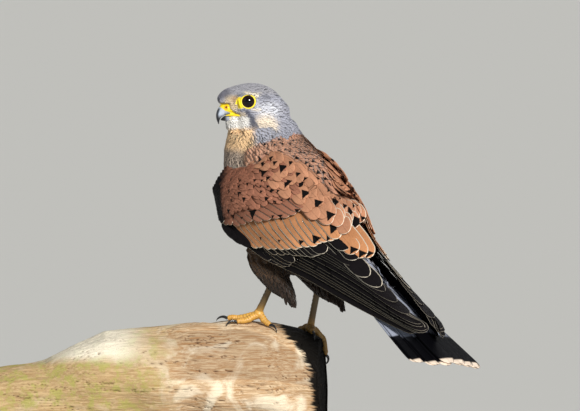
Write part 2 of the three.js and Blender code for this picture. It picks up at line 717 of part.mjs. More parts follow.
function baseSolid(top) {
  const { length, width, corner, thick, bevel } = STAND;
  const half = length / 2 - bevel;
  const side = width / 2 - bevel;
  const outline = new THREE.Shape();
  outline.moveTo(-half + corner, -side);
  outline.lineTo(half - corner, -side);
  outline.absarc(half - corner, -side + corner, corner, -Math.PI / 2, 0);
  outline.lineTo(half, side - corner);
  outline.absarc(half - corner, side - corner, corner, 0, Math.PI / 2);
  outline.lineTo(-half + corner, side);
  outline.absarc(-half + corner, side - corner, corner, Math.PI / 2, Math.PI);
  outline.lineTo(-half, -side + corner);
  outline.absarc(-half + corner, -side + corner, corner, Math.PI, Math.PI * 1.5);
  const slab = new THREE.ExtrudeGeometry(outline, {
    depth: thick - 2 * bevel,
    bevelSize: bevel,
    bevelThickness: bevel,
    bevelSegments: 1,
    curveSegments: 5,
  });
  slab.translate(0, 0, top - thick + bevel);
  return solidOf(slab);
}

function meshOf(made, name, material) {
  const { vertProperties, triVerts } = made.getMesh();
  const geometry = new THREE.BufferGeometry();
  geometry.setAttribute("position", new THREE.BufferAttribute(new Float32Array(vertProperties), 3));
  geometry.setIndex(new THREE.BufferAttribute(new Uint32Array(triVerts), 1));
  geometry.computeVertexNormals();
  const mesh = new THREE.Mesh(geometry, materialOf(material));
  mesh.name = name;
  return mesh;
}

// Parts of one body by a thin slanted cut: what lies above the cut and what lies below it.
function parted(made, normal, through) {
  const n = point(normal).normalize();
  const level = n.dot(point(through));
  const above = made.trimByPlane(n.toArray(), level + GAP / 2);
  const below = made.trimByPlane(n.clone().negate().toArray(), -(level - GAP / 2));
  return [above, below];
}

const SIDES = { left: 1, right: -1 };

function addHead(add, trunk, grownTrunk) {
  const place = headMatrix();
  const skull = union([headSolid(0), ...lids(1), ...lids(-1)]);
  const sockets = union([1, -1].map((side) => placed(ball(EYE.radius + GAP, 14, 10), eyeMatrix(side))));
  const whole = union([trunk, placed(skull, place)]).subtract(placed(sockets, place));
  const [head, rest] = parted(whole, ...HEAD_CUT);
  add(largest(head), "head", "plumageGrey");
  for (const [name, side] of Object.entries(SIDES)) {
    const eye = placed(ball(EYE.radius, 14, 10), eyeMatrix(side));
    add(placed(eye, place), "eye_" + name, "eye");
  }
  const flesh = union([placed(headSolid(GAP), place), grownTrunk]);
  const nostrils = [1, -1].map((side) => {
    const [x, y, z] = NOSTRIL.at;
    return placed(ball(NOSTRIL.radius, 8, 6).translate(x, side * y, z), place);
  });
  const upper = placed(billSolid(BILL_UPPER, 1.8), place).subtract(union([flesh, ...nostrils]));
  add(largest(upper), "bill_upper", "horn");
  const lowered = BILL_UPPER.map((s) => ({ ...s, half: s.half + GAP, edge: [s.edge[0], s.edge[1] - GAP] }));
  const lower = placed(billSolid(BILL_LOWER, 2.2), place);
  const upperGrown = placed(billSolid(lowered, 1.8), place);
  add(largest(lower.subtract(union([flesh, upperGrown]))), "bill_lower", "horn");
  return rest;
}

function addLeg(add, name, grownTrunk, branch) {
  const leg = LEGS[name];
  add(largest(thighSolid(leg, 0).subtract(grownTrunk)), "thigh_" + name, "plumageBuff");
  const down = point(leg.ankle).sub(point(leg.heel)).normalize();
  const level = down.dot(point(leg.ankle)) - TOE_ROOT;
  const shank = shankSolid(leg).subtract(thighSolid(leg, GAP));
  add(largest(shank.trimByPlane(down.clone().negate().toArray(), GAP / 2 - level)), "shank_" + name, "scale");
  const foot = footSolid(leg, TOES[name], branch).trimByPlane(down.toArray(), level + GAP / 2);
  add(largest(foot), "foot_" + name, "scale");
  for (const toe of TOES[name])
    add(largest(clawSolid(leg, toe).subtract(branch)), "claw_" + name + "_" + toe.name, "claw");
}

function build() {
  const bird = new THREE.Group();
  const add = (made, name, material) => bird.add(meshOf(made, name, material));
  const grownTrunk = trunkSolid(GAP);
  const rest = addHead(add, trunkSolid(0), grownTrunk);
  const [neck, lower] = parted(rest, ...NECK_CUT);
  const [torso, stump] = parted(lower, ...TAIL_CUT);
  add(largest(neck), "neck", "plumageBuff");
  add(largest(torso), "torso", "plumageRufous");
  add(largest(union([stump, parted(tailFan(0), ...TAIL_CUT)[1]])), "tail", "tailGrey");
  const branch = branchSolid(GAP);
  for (const name of Object.keys(SIDES)) addLeg(add, name, grownTrunk, branch);
  const thighs = union(Object.values(LEGS).map((leg) => thighSolid(leg, GAP)));
  const inTheWay = union([grownTrunk, thighs, tailFan(GAP)]);
  for (const [name, side] of Object.entries(SIDES))
    add(wingSolid(side, inTheWay), "wing_" + name, "plumageRufous");
  add(largest(branchSolid(0)), "perch_branch", "wood");
  return bird;
}

const bird = build();

const stand = new THREE.Group();
stand.rotation.z = BRANCH_BEARING * DEG;
const baseTop = BRANCH_FLOOR - STAND.rodHeight;
const base = meshOf(baseSolid(baseTop), "stand_base", "base");
base.position.x = STAND_CENTRE;
stand.add(base);
for (const [sign, name] of [[-1, "front"], [1, "rear"]]) {
  const rod = rodSolid(STAND.rodRadius, baseTop + GAP, BRANCH_FLOOR - GAP);
  const mesh = meshOf(rod, "stand_rod_" + name, "steel");
  mesh.position.x = STAND_CENTRE + sign * ROD_SPREAD;
  stand.add(mesh);
}

// The model stands with the middle of its box's underside at the origin.
const kestrel = new THREE.Group();
kestrel.add(bird, stand);
kestrel.updateMatrixWorld(true);
const box = new THREE.Box3().setFromObject(kestrel, true);
const centre = box.getCenter(new THREE.Vector3());
kestrel.position.set(-centre.x, -centre.y, -box.min.z);

export default kestrel;
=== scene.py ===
# A male common kestrel at life size, looking over its left shoulder from the broken end of a
# weathered log. Each section makes one piece or group of like pieces, in the order in which such
# a model is put together: placing, camera, skin, eyes, bill, legs, coat, wings, tail, log, stand.
import json
import math

import bpy
import bmesh
import numpy as np
from mathutils import Matrix, Vector, noise
from mathutils.bvhtree import BVHTree
from mathutils.kdtree import KDTree

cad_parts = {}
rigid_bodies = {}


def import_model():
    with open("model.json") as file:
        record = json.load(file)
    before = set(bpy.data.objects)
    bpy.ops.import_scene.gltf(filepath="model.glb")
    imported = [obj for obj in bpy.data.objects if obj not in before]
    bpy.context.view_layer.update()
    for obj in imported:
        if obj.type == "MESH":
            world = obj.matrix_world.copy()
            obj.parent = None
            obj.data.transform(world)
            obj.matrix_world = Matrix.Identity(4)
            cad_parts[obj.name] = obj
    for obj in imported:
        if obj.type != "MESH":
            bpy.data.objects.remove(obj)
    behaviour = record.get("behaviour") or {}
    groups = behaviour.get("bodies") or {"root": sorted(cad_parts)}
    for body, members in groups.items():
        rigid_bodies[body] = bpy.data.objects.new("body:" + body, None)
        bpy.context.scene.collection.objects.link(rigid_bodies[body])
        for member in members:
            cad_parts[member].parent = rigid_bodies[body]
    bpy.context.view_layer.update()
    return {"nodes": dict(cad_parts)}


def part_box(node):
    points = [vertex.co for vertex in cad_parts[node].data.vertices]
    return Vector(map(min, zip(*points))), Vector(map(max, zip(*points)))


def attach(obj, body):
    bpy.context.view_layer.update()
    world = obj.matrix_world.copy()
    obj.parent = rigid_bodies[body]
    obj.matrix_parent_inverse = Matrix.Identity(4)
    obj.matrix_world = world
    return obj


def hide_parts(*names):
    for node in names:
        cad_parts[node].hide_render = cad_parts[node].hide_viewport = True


for leftover in list(bpy.context.scene.objects):
    bpy.data.objects.remove(leftover)
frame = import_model()

# ---- Placing ----
# The bird's own millimetres, +X the way its breast faces and +Y its left, start at the top of the
# log between its feet. The head has a frame of its own, turned over the left shoulder and dipped.
HEAD_AT = np.array([22.0, 11.0, 166.0])
HEAD_TURN = math.radians(62)
HEAD_DIP = math.radians(3)
EYE_AT = np.array([6.2, 10.4, 4.4])


def head_turned():
    """The head's turn as a 3 by 3 array: its columns are forward, left and up."""
    c, s = math.cos(HEAD_TURN), math.sin(HEAD_TURN)
    turn = np.array([[c, -s, 0], [s, c, 0], [0, 0, 1]])
    c, s = math.cos(HEAD_DIP), math.sin(HEAD_DIP)
    return turn @ np.array([[c, 0, s], [0, 1, 0], [-s, 0, c]])


HEAD_AXES = head_turned()


def from_head(points):
    """Points in the head's frame as points of the bird, in millimetres."""
    return np.asarray(points) @ HEAD_AXES.T + HEAD_AT


def to_head(points):
    return (np.asarray(points) - HEAD_AT) @ HEAD_AXES


eye_low, eye_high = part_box("eye_left")
EYE_IN_FRAME = (np.array(eye_low) + np.array(eye_high)) / 2
ORIGIN = EYE_IN_FRAME - from_head(EYE_AT) / 1000


def world(points):
    """The bird's millimetres as metres of the frame."""
    return np.asarray(points) / 1000 + ORIGIN


def bird(points):
    return (np.asarray(points) - ORIGIN) * 1000


# ---- Camera ----
# A long lens from behind the bird's left side, raised a little. It aims a little to the right of
# the place between the feet and about as high as the bird's middle.
AZIMUTH, ELEVATION = math.radians(230), math.radians(4)
VIEW_WIDTH, VIEW_DISTANCE, SENSOR_WIDTH = 0.446, 12.0, 36
AIM_RIGHT, AIM_UP = 5.4, 89.6
level = math.cos(ELEVATION)
to_eye = np.array([math.sin(AZIMUTH) * level, -math.cos(AZIMUTH) * level, math.sin(ELEVATION)])
rightward = np.array([math.cos(AZIMUTH), math.sin(AZIMUTH), 0])
upward = np.cross(to_eye, rightward)
aim = world(AIM_RIGHT * rightward + AIM_UP * upward)
bpy.ops.object.camera_add(location=Vector(aim + to_eye * VIEW_DISTANCE))
camera = bpy.context.object
camera.rotation_mode = "QUATERNION"
camera.rotation_quaternion = Vector(-to_eye).to_track_quat("-Z", "Y")
camera.data.sensor_width = SENSOR_WIDTH
camera.data.lens = SENSOR_WIDTH * VIEW_DISTANCE / VIEW_WIDTH
camera.data.clip_start, camera.data.clip_end = 0.1, 200
bpy.context.scene.camera = camera


# ---- Skin ----
# The body under the feathers: head, neck, trunk, thighs, the two folded arms and the stump of the
# tail as one closed surface, a little inside the solids so that the coat fills up to them.
# the folded wing from wrist to tip: its lower edge, its middle and its upper edge
WING = np.array(
    [
        [[48, 28, 93], [47, 31, 109], [30, 25, 130]],
        [[21, 38, 73], [4, 41, 100], [-25, 23, 126]],
        [[-22, 36, 54], [-41, 38, 77], [-69, 19, 95]],
        [[-61, 31, 43], [-75, 30, 58], [-95, 14, 71]],
        [[-114, 28, 25], [-117, 27, 38], [-119, 17, 50]],
        [[-168, 22, 8], [-168, 22, 15], [-165, 16, 21]],
        [[-189, 12, 1], [-193, 13, 4], [-190, 11, 8]],
    ],
    float,
)
WING_REACH, WING_DEEP, WING_EDGE, WING_ROUND, WING_SUNK = 0.5, 17, 4.0, 2.5, 2.2
RIGHT_WING_DROP = np.array([3.0, -13.0, -6.0])
WRIST_TUCK = np.array([-4.5, 0.0, -2.5])
# the trunk from under the skull to the tail: a place behind, a place in front, half the width
TRUNK = np.array(
    [
        [12, -7, 163, 29, 26, 163, 14],
        [8, -13, 156, 32, 30, 156, 18],
        [-1, -15, 149, 35, 27, 148, 23],
        [-14, -9, 140, 46, 17, 136, 27],
        [-37, 0, 126, 56, 2, 115, 30],
        [-53, 0, 111, 57, 0, 94, 31],
        [-65, 0, 97, 46, 0, 73, 31],
        [-75, 0, 84, 29, 0, 55, 29],
        [-83, 0, 72, 7, 0, 43, 26],
        [-90, 0, 63, -20, 0, 37, 22],
        [-96, 0, 55, -50, 0, 34, 18],
        [-103, 0, 49, -80, 0, 33, 14],
        [-121, 0, 32.5, -112, 0, 31, 6],
    ],
    float,
)
SKIN_DEPTH = 1.3
SKIN_VOXEL = 0.0011
GAP_FILL = 0.0003
ARM_ROWS, ARM_COLUMNS = 25, 13
STUMP_FROM, STUMP_RINGS, STUMP_SIDES, STUMP_SQUARENESS = 0.84, 12, 24, 2.3


def blend(a, b, t):
    return a + (b - a) * t


def smooth(low, high, value):
    """0 below low and 1 above high, with a soft step between them; high may be below low."""
    t = np.clip((value - low) / (high - low), 0, 1)
    return t * t * (3 - 2 * t)


def curve(points, t):
    """Catmull-Rom curve through points, an array of K places, or of M rows of K places."""
    points = np.asarray(points, float)
    t = np.atleast_1d(np.asarray(t, float))
    if points.ndim == 2:
        points = np.broadcast_to(points, (len(t), *points.shape))
    last = points.shape[1] - 1
    place = np.clip(t, 0, 1) * last
    i = np.minimum(place.astype(int), last - 1)
    k = (place - i)[:, None]
    row = np.arange(len(t))
    b, c = points[row, i], points[row, i + 1]
    a = np.where((i > 0)[:, None], points[row, np.maximum(i - 1, 0)], 2 * b - c)
    d = np.where((i + 2 <= last)[:, None], points[row, np.minimum(i + 2, last)], 2 * c - b)
    cubic = (3 * b - a - 3 * c + d) * k**3 + (2 * a - 5 * b + 4 * c - d) * k**2
    return 0.5 * (cubic + (c - a) * k + 2 * b)


def unit(vectors):
    return vectors / np.maximum(np.linalg.norm(vectors, axis=-1, keepdims=True), 1e-9)


def wing_point(a, b, side):
    """The folded wing's outer surface: a from wrist to tip, b from the lower to the upper edge."""
    a, b = np.broadcast_arrays(np.asarray(a, float), np.asarray(b, float))
    rows = curve(WING.reshape(7, 9), a.ravel()).reshape(-1, 3, 3)
    places = curve(rows, b.ravel())
    corner = smooth(0.14, 0.0, a.ravel()) * smooth(0.15, 0.5, b.ravel())
    places = places + corner[:, None] * WRIST_TUCK
    if side < 0:
        places = places + (a.ravel() ** 2)[:, None] * RIGHT_WING_DROP
    places[:, 1] *= side
    return places.reshape(*a.shape, 3)


def wing_normal(a, b, side, reach=0.01):
    a, b = np.broadcast_arrays(np.asarray(a, float), np.asarray(b, float))
    ahead, behind = np.minimum(a + reach, 1), np.maximum(a - reach, 0)
    above, below = np.minimum(b + reach, 1), np.maximum(b - reach, 0)
    along = wing_point(ahead, b, side) - wing_point(behind, b, side)
    across = wing_point(a, above, side) - wing_point(a, below, side)
    normal = unit(np.cross(along, across))
    return normal * np.where(normal[..., 1:2] * side < 0, -1, 1)


def shell(name, points, quads, triangles=()):
    """A smooth mesh object from places in millimetres and its faces."""
    mesh = bpy.data.meshes.new(name)
    places = world(points)
    quads, triangles = np.reshape(quads, (-1, 4)), np.reshape(triangles, (-1, 3))
    corners = np.concatenate([quads.ravel(), triangles.ravel()]).astype(np.int32)
    sizes = np.repeat([4, 3], [len(quads), len(triangles)])
    mesh.vertices.add(len(places))
    mesh.vertices.foreach_set("co", places.astype(np.float32).ravel())
    mesh.loops.add(len(corners))
    mesh.loops.foreach_set("vertex_index", corners)
    mesh.polygons.add(len(sizes))
    mesh.polygons.foreach_set("loop_start", (np.cumsum(sizes) - sizes).astype(np.int32))
    mesh.polygons.foreach_set("use_smooth", np.ones(len(sizes), bool))
    mesh.update(calc_edges=True)
    made = bpy.data.objects.new(name, mesh)
    bpy.context.scene.collection.objects.link(made)
    return made


def turned_out(piece):
    """The piece with its faces made to point outwards."""
    work = bmesh.new()
    work.from_mesh(piece.data)
    bmesh.ops.recalc_face_normals(work, faces=work.faces)
    work.to_mesh(piece.data)
    work.free()
    return piece


def grid_faces(rows, columns, start=0, closed=False):
    """The quads of a grid of vertices, joined round where closed."""
    across = np.arange(columns if closed else columns - 1)
    r, c = (grid.ravel() for grid in np.meshgrid(np.arange(rows - 1), across, indexing="ij"))
    here, beside = r * columns + c, r * columns + (c + 1) % columns
    return start + np.stack([here, beside, beside + columns, here + columns], -1)


def oval_rings(middle, reach, wide, squareness, sides):
    """Rings round middle places, from round at a squareness of 2 towards square above it."""
    angle = np.arange(sides) / sides * 2 * np.pi
    c, s = np.cos(angle), np.sin(angle)
    scale = (np.abs(c) ** squareness + np.abs(s) ** squareness) ** (-1 / squareness)
    c, s = (c * scale)[None, :, None], (s * scale)[None, :, None]
    return middle[:, None] + reach[:, None] * c + wide[:, None] * s


def closed_rings(name, rings):
    """A skin over rings of equal count, (R, S, 3), closed at both ends by a fan."""
    count, sides = rings.shape[:2]
    points = np.concatenate([rings.reshape(-1, 3), rings[:1].mean(1), rings[-1:].mean(1)])
    quads = grid_faces(count, sides, closed=True)
    k = np.arange(sides)
    after = (k + 1) % sides
    last = (count - 1) * sides
    first = np.stack([np.full(sides, count * sides), after, k], -1)
    end = np.stack([np.full(sides, count * sides + 1), last + k, last + after], -1)
    return turned_out(shell(name, points, quads, np.concatenate([first, end])))


def arm(side):
    """A folded arm as a closed cushion under the coverts of one wing."""
    a = np.linspace(0, 1, ARM_ROWS) ** 1.3 * WING_REACH
    b = np.linspace(0, 1, ARM_COLUMNS)
    grid_a, grid_b = np.meshgrid(a, b, indexing="ij")
    place = wing_point(grid_a, grid_b, side)
    normal = wing_normal(grid_a, grid_b, side)
    along = grid_a / WING_REACH
    full = np.sin(np.pi * blend(0.08, 0.8, grid_b)) * (1 - along**1.5 * 0.9)
    rim = smooth(0.1, 0, along) + smooth(0.12, 0, grid_b) * 0.7
    outer = place - normal * (WING_SUNK + rim * WING_ROUND)[..., None]
    inner = place - normal * (WING_EDGE + WING_DEEP * full + rim * WING_ROUND * 0.5)[..., None]
    points = np.concatenate([outer.reshape(-1, 3), inner.reshape(-1, 3)])
    count = ARM_ROWS * ARM_COLUMNS
    front = grid_faces(ARM_ROWS, ARM_COLUMNS)
    back = grid_faces(ARM_ROWS, ARM_COLUMNS, count)[:, ::-1]
    grid = np.arange(count).reshape(ARM_ROWS, ARM_COLUMNS)
    edge = [*grid[0], *grid[1:, -1], *grid[-1, -2::-1], *grid[-2:0:-1, 0]]
    walls = [[p, q, q + count, p + count] for p, q in zip(edge, edge[1:] + edge[:1])]
    return turned_out(shell("arm", points, np.concatenate([front, back, walls])))


def stump():
    """The stump of the tail: squarish rings down the end of the trunk."""
    ring = curve(TRUNK, np.linspace(STUMP_FROM, 1, STUMP_RINGS))
    back, front, half = ring[:, :3], ring[:, 3:6], ring[:, 6:]
    out = unit(front - back)
    side = unit(np.stack([-out[:, 1], out[:, 0], out[:, 0] * 0], -1)) * half
    middle, reach = (back + front) / 2, (front - back) / 2
    return closed_rings("stump", oval_rings(middle, reach, side, STUMP_SQUARENESS, STUMP_SIDES))


flesh = ["head", "neck", "torso", "thigh_left", "thigh_right"]
bpy.ops.object.select_all(action="DESELECT")
parts = [arm(1), arm(-1), stump()]
for name in flesh:
    copy = frame["nodes"][name].copy()
    copy.data = frame["nodes"][name].data.copy()
    bpy.context.scene.collection.objects.link(copy)
    copy.parent = None
    work = bmesh.new()
    work.from_mesh(copy.data)
    bmesh.ops.remove_doubles(work, verts=work.verts, dist=1e-6)
    work.normal_update()
    for vertex in work.verts:
        vertex.co += vertex.normal * GAP_FILL
    work.to_mesh(copy.data)
    work.free()
    parts.append(copy)
for piece in parts:
    piece.select_set(True)
skin = parts[0]
bpy.context.view_layer.objects.active = skin
bpy.ops.object.join()
skin.name = "skin"
skin.data.materials.clear()


def apply_modifier(piece, kind, **settings):
    """Adds a modifier to a piece and applies it."""
    bpy.ops.object.select_all(action="DESELECT")
    piece.select_set(True)
    bpy.context.view_layer.objects.active = piece
    modifier = piece.modifiers.new(kind.lower(), kind)
    for key, value in settings.items():
        setattr(modifier, key, value)
    bpy.ops.object.modifier_apply(modifier=modifier.name)


apply_modifier(skin, "REMESH", mode="VOXEL", voxel_size=SKIN_VOXEL, use_smooth_shade=True)
apply_modifier(skin, "SMOOTH", factor=0.5, iterations=10)
apply_modifier(skin, "DISPLACE", strength=-SKIN_DEPTH / 1000, mid_level=0.0)


# where the cere and the open mouth lie on the head, in its own frame
CERE_FRONT, MOUTH_FRONT, MOUTH_TOP = 12.8, 22.5, -6.6
HEAD_FROM, NAPE_FILL = 145, 2.6


def cere_edge(u):
    """How far forward the rear edge of the cere stands at a height."""
    return CERE_FRONT + 1.33 * (np.minimum(u, -0.4) + 6.2)


def on_cere(f, u):
    """Whether a place of the head lies on the bare cere, the bill or the mouth's corner."""
    above = (f > cere_edge(u)) & (u > MOUTH_TOP) & (u < 3.4)
    below = (f > MOUTH_FRONT) & (u <= MOUTH_TOP) & (u > -8.8)
    return above & (f > CERE_FRONT) | below


def lore_patch(f, l, u):
    """The bare drop of yellow skin before the eye."""
    return (((f - 13.4) / 3.5) ** 2 + ((u - 3.6) / 4.7) ** 2 < 1) & (np.abs(l) > 4)


def bare_front(points):
    """The head's front, set inwards so that cere, bill and mouth lie open, and its filled nape."""
    local = to_head(points)
    f, l, u = local.T
    back = np.where(u > MOUTH_TOP, cere_edge(u), MOUTH_FRONT + 0.3)
    open_to = smooth(-1.2, 0.3, f - back) * smooth(4.4, 3.2, u)
    open_to = open_to * smooth(-11.0, -9.8, u) * smooth(12.0, 13.5, f)
    half = np.interp(f, [12, 16, 20, 24, 27], [7.4, 6.0, 4.0, 2.0, 0.8])
    snout = np.interp(f, [14, 18, 22, 26, 29], [9.2, 8.2, 6.9, 5.2, 3.6])
    local[:, 1] = blend(l, np.clip(l, -snout, snout), smooth(12, 15, f))
    local[:, 1] = blend(local[:, 1], np.clip(l, -half, half), open_to)
    patch = lore_patch(f, l, u)
    local[:, 1] += np.sign(l) * patch * 0.7
    local[:, 0] -= smooth(MOUTH_FRONT, 24.0, f) * (f - MOUTH_FRONT) * 0.7 * smooth(2.2, 1.0, u)
    # the nape's feathers stand up and fill the hollow between crown and back
    local[:, 0] -= NAPE_FILL * smooth(-7, -16, f) * smooth(7, -3, u) * smooth(-20, -12, u)
    return from_head(local)


head_from = world([0, 0, HEAD_FROM])[2]
fronted = world(bare_front(bird([v.co[:] for v in skin.data.vertices])))
for vertex, place in zip(skin.data.vertices, fronted):
    if vertex.co.z > head_from:
        vertex.co = Vector(place)


def largest_island(piece):
    """Leaves only the piece's largest connected surface, without loose scraps and inner voids."""
    work = bmesh.new()
    work.from_mesh(piece.data)
    left = set(work.verts)
    best = set()
    while left:
        seed = left.pop()
        island, edge = {seed}, [seed]
        while edge:
            here = edge.pop()
            for link in here.link_edges:
                there = link.other_vert(here)
                if there in left:
                    left.discard(there)
                    island.add(there)
                    edge.append(there)
        if len(island) > len(best):
            best = island
    bmesh.ops.delete(work, geom=[v for v in work.verts if v not in best], context="VERTS")
    work.to_mesh(piece.data)
    work.free()


def tree_of(piece):
    """A piece's surface, kept for finding the nearest place and the first hit of a ray."""
    mesh = piece.data
    places = [v.co.copy() for v in mesh.vertices]
    return BVHTree.FromPolygons(places, [list(p.vertices) for p in mesh.polygons])


largest_island(skin)
skin_tree = tree_of(skin)
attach(skin, "root")
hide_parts(*flesh)


# The markings of the body, by place: the flow of the trunk gives back and front, the head's own
# frame gives crown, cheek and throat. Every coat piece and the skin take their grounds from here.
FLOW_T = np.linspace(0, 1, 79)
FLOW_RINGS = curve(TRUNK, FLOW_T)
FLOW_BATCH = 4000
# what lies beside the trunk's middle counts less than what lies before or above it
FLOW_WEIGHTS = np.array([1, 0.35, 1])


def colour(red, green, blue):
    """A colour of 0 to 255 as the shader's linear one."""
    part = np.array([red, green, blue]) / 255
    return np.where(part <= 0.04045, part / 12.92, ((part + 0.055) / 1.055) ** 2.4)


BLUE_GREY = colour(160, 162, 175)
CROWN_GREY = colour(160, 160, 168)
FOREHEAD_GREY = colour(118, 118, 130)
TEMPLE_GREY = colour(104, 106, 118)
EAR_GREY = colour(208, 211, 221)
MOUSTACHE_SLATE = colour(84, 88, 104)
CHEEK_CREAM = colour(242, 226, 204)
BROW_CREAM = colour(234, 226, 208)
CREAM = colour(236, 226, 206)
LORE_BUFF = colour(226, 206, 172)
BRIDGE_BROWN = colour(196, 162, 126)
PALE_BUFF = colour(222, 204, 176)
THROAT_WHITE = colour(244, 242, 238)
THROAT_BUFF = colour(238, 206, 166)
COLLAR_BUFF = colour(226, 190, 146)
COLLAR_FOOT = colour(170, 154, 140)
CHESTNUT = colour(176, 128, 104)
UPPER_BACK = colour(214, 166, 140)
BUFF = colour(222, 192, 152)
# the lower trunk's buff, darkened by painted shade
BUFF_IN_PAINTED_SHADE = colour(86, 66, 48)
# painted shade, near black, on the thighs' lower ends under the body
THIGH_PAINTED_SHADE = colour(40, 30, 22)
TAIL_GREY = colour(146, 152, 168)


def on_trunk(points):
    """For places of the bird: t along the trunk, f from the back at 0 to the front at 1."""
    back, front = FLOW_RINGS[:, :3], FLOW_RINGS[:, 3:6]
    span = front - back
    length = (span**2).sum(-1)
    t = np.empty(len(points))
    f = np.empty(len(points))
    for start in range(0, len(points), FLOW_BATCH):
        some = points[start : start + FLOW_BATCH]
        away = some[:, None] - back[None]
        share = (away * span[None]).sum(-1) / length[None]
        held = np.clip(share, 0, 1)
        nearest = back[None] + held[..., None] * span[None]
        apart = (some[:, None] - nearest) * FLOW_WEIGHTS
        best = (apart**2).sum(-1).argmin(1)
        row = np.arange(len(some))
        t[start : start + FLOW_BATCH] = FLOW_T[best]
        f[start : start + FLOW_BATCH] = held[row, best]
    return t, f


def speckle(points, scale):
    """Smooth noise of about -1 to 1 at each place."""
    return np.array([noise.noise(Vector(place)) for place in points * scale])


def laid(tone, share, over):
    """A tone with another one laid over it by a share at each place."""
    return blend(tone, over, np.clip(share, 0, 1)[:, None])


def head_ground(local):
    """Ground colours of the head by its own frame, alike on both sides."""
    f, l, u = local[:, 0], np.abs(local[:, 1]), local[:, 2]

    def patch(at_f, at_u, wide, high, soft=0.5):
        """A soft round patch of the head's side."""
        off = np.sqrt(((f - at_f) / wide) ** 2 + ((u - at_u) / high) ** 2)
        return smooth(1 + soft, 1 - soft, off)

    throat = smooth(8.2, 11.0, f + (u + 12) * 0.25) * smooth(-5.5, -7.5, u)
    brow = smooth(1.4, 0.6, np.abs(u - 10.2 - (f - 5) * 0.08))
    brow = brow * smooth(13, 10, f) * smooth(-1, 3, f)
    under = smooth(1.3, 0.5, np.abs(u + 2.0)) * smooth(3.5, 2, np.abs(f - 4)) * smooth(8, 10, l)
    middle = np.interp(u, [-17.3, -7.1, -1.4], [3.9, 7.8, 11.2])
    width = np.interp(u, [-16, -6, -2], [2.6, 1.7, 1.3])
    moustache = smooth(width + 1.0, width - 1.0, np.abs(f - middle)) * smooth(-0.6, -2.2, u)
    moustache = moustache * smooth(-25, -15, u) * smooth(4, 7, l)
    temple = smooth(1.6, 0.6, np.abs(u - 7.2 - (f + 3) * 0.2))
    temple = temple * smooth(-8, -5, f) * smooth(1.5, -0.5, f)
    tone = np.tile(BLUE_GREY, (len(local), 1))
    for share, over in (
        (smooth(7, 11, u), CROWN_GREY),
        (smooth(18, 24, f) * smooth(4, 8, u), FOREHEAD_GREY),
        (patch(-4.5, -2.8, 8.0, 6.0) * smooth(5, 9, l), EAR_GREY),
        (patch(-1.5, -13.5, 8.5, 7.5) * smooth(3, 7, l), CHEEK_CREAM),
        (patch(19.5, 3.2, 5.4, 5.0), LORE_BUFF),
        (patch(17.4, 6.4, 2.6, 2.2) * 0.8, BRIDGE_BROWN),
        (patch(15.5, -5.0, 5.0, 2.2) * 0.8, PALE_BUFF),
        (throat, THROAT_WHITE),
        (throat * smooth(-12.5, -16.5, u) * smooth(20, 16, f), THROAT_BUFF),
        (brow, BROW_CREAM),
        (under * 0.6, CREAM),
        (moustache * 0.9, MOUSTACHE_SLATE),
        (temple * 0.6, TEMPLE_GREY),
    ):
        tone = laid(tone, share, over)
    return tone


def body_ground(points):
    """Ground colours of neck, trunk and thighs, the streaks' strength and the neck's share."""
    f = on_trunk(points)[1]
    x, y, z = points.T
    wave = speckle(points, 0.09) * 0.5
    vent = smooth(-30, -60, x) * smooth(0.5, 0.75, f)
    back = smooth(0.56, 0.42, f + wave * 0.03)
    # the neck: grey behind, pale and streaked at the side and in front
    edge = np.interp(x, [-15, -6, 0, 10, 18, 30, 40], [147, 139, 137, 133, 127, 118, 112])
    edge = edge + 9 * smooth(8, -4, y)
    edge = np.where(f > 0.5, np.maximum(edge, blend(edge, 112, smooth(0.5, 0.7, f))), edge)
    neck = smooth(edge - 1.5, edge + 1.5, z + wave * 3)
    side = smooth(2, 9, to_head(points)[:, 0])
    foot = smooth(137, 129, z) * smooth(98, 108, z) * smooth(0.48, 0.62, f)
    # the lower trunk starts from buff that is darkened by painted shade
    tone = np.tile(BUFF_IN_PAINTED_SHADE, (len(points), 1))
    for share, over in (
        (smooth(80, 120, z) * smooth(0.55, 0.75, f), BUFF),
        (vent, PALE_BUFF),
        (back, CHESTNUT),
        (back * smooth(108, 126, z) * 0.3, UPPER_BACK),
        # painted shade on the thighs' lower ends
        (smooth(46, 28, z) * (x > -66), THIGH_PAINTED_SHADE),
        (smooth(-87, -93, x + wave * 4) * smooth(0.75, 0.55, f), TAIL_GREY),
        (neck, blend(BLUE_GREY, COLLAR_BUFF, side[:, None])),
        (foot, COLLAR_FOOT),
    ):
        tone = laid(tone, share, over)
    streak = 0.5 * smooth(0.5, 0.62, f) * (1 - vent * 0.6)
    streak = np.where(neck > 0.5, 0.12 * side, streak)
    return tone, blend(streak, 0.45, foot), neck


def ground_at(points):
    """Ground colour and strength of the streaks at each place of the bird."""
    tone, streak, neck = body_ground(points)
    local = to_head(points)
    on_head = smooth(-17, -12, local[:, 2] + smooth(-4, -18, local[:, 0]) * 8) * neck
    return laid(tone, on_head, head_ground(local)), blend(streak, 0.12, on_head)


def vertices_of(piece):
    flat = np.empty(len(piece.data.vertices) * 3, np.float32)
    piece.data.vertices.foreach_get("co", flat)
    return flat.reshape(-1, 3).astype(float)


def near_tree(places):
    """Places kept for finding those that are nearest."""
    tree = KDTree(len(places))
    for i, place in enumerate(places):
        tree.insert(place, i)
    tree.balance()
    return tree


grid_a, grid_b = np.meshgrid(np.linspace(0.0, 0.6, 40), np.linspace(0.0, 1.0, 26), indexing="ij")
WING_TREES = [near_tree(wing_point(grid_a, grid_b, side).reshape(-1, 3)) for side in (1, -1)]


def wing_gap(points):
    """How far each place is from the folded wings, which carry their own feathers."""
    return np.array([min(tree.find(p)[2] for tree in WING_TREES) for p in points])


def note(piece, name, kind, values, domain="POINT"):
    """Values of each vertex or corner, kept on the mesh under a name for the materials to read."""
    layer = piece.data.attributes.new(name, kind, domain)
    key = {"FLOAT": "value", "FLOAT_VECTOR": "vector", "FLOAT_COLOR": "color"}[kind]
    layer.data.foreach_set(key, np.asarray(values, np.float32).ravel())


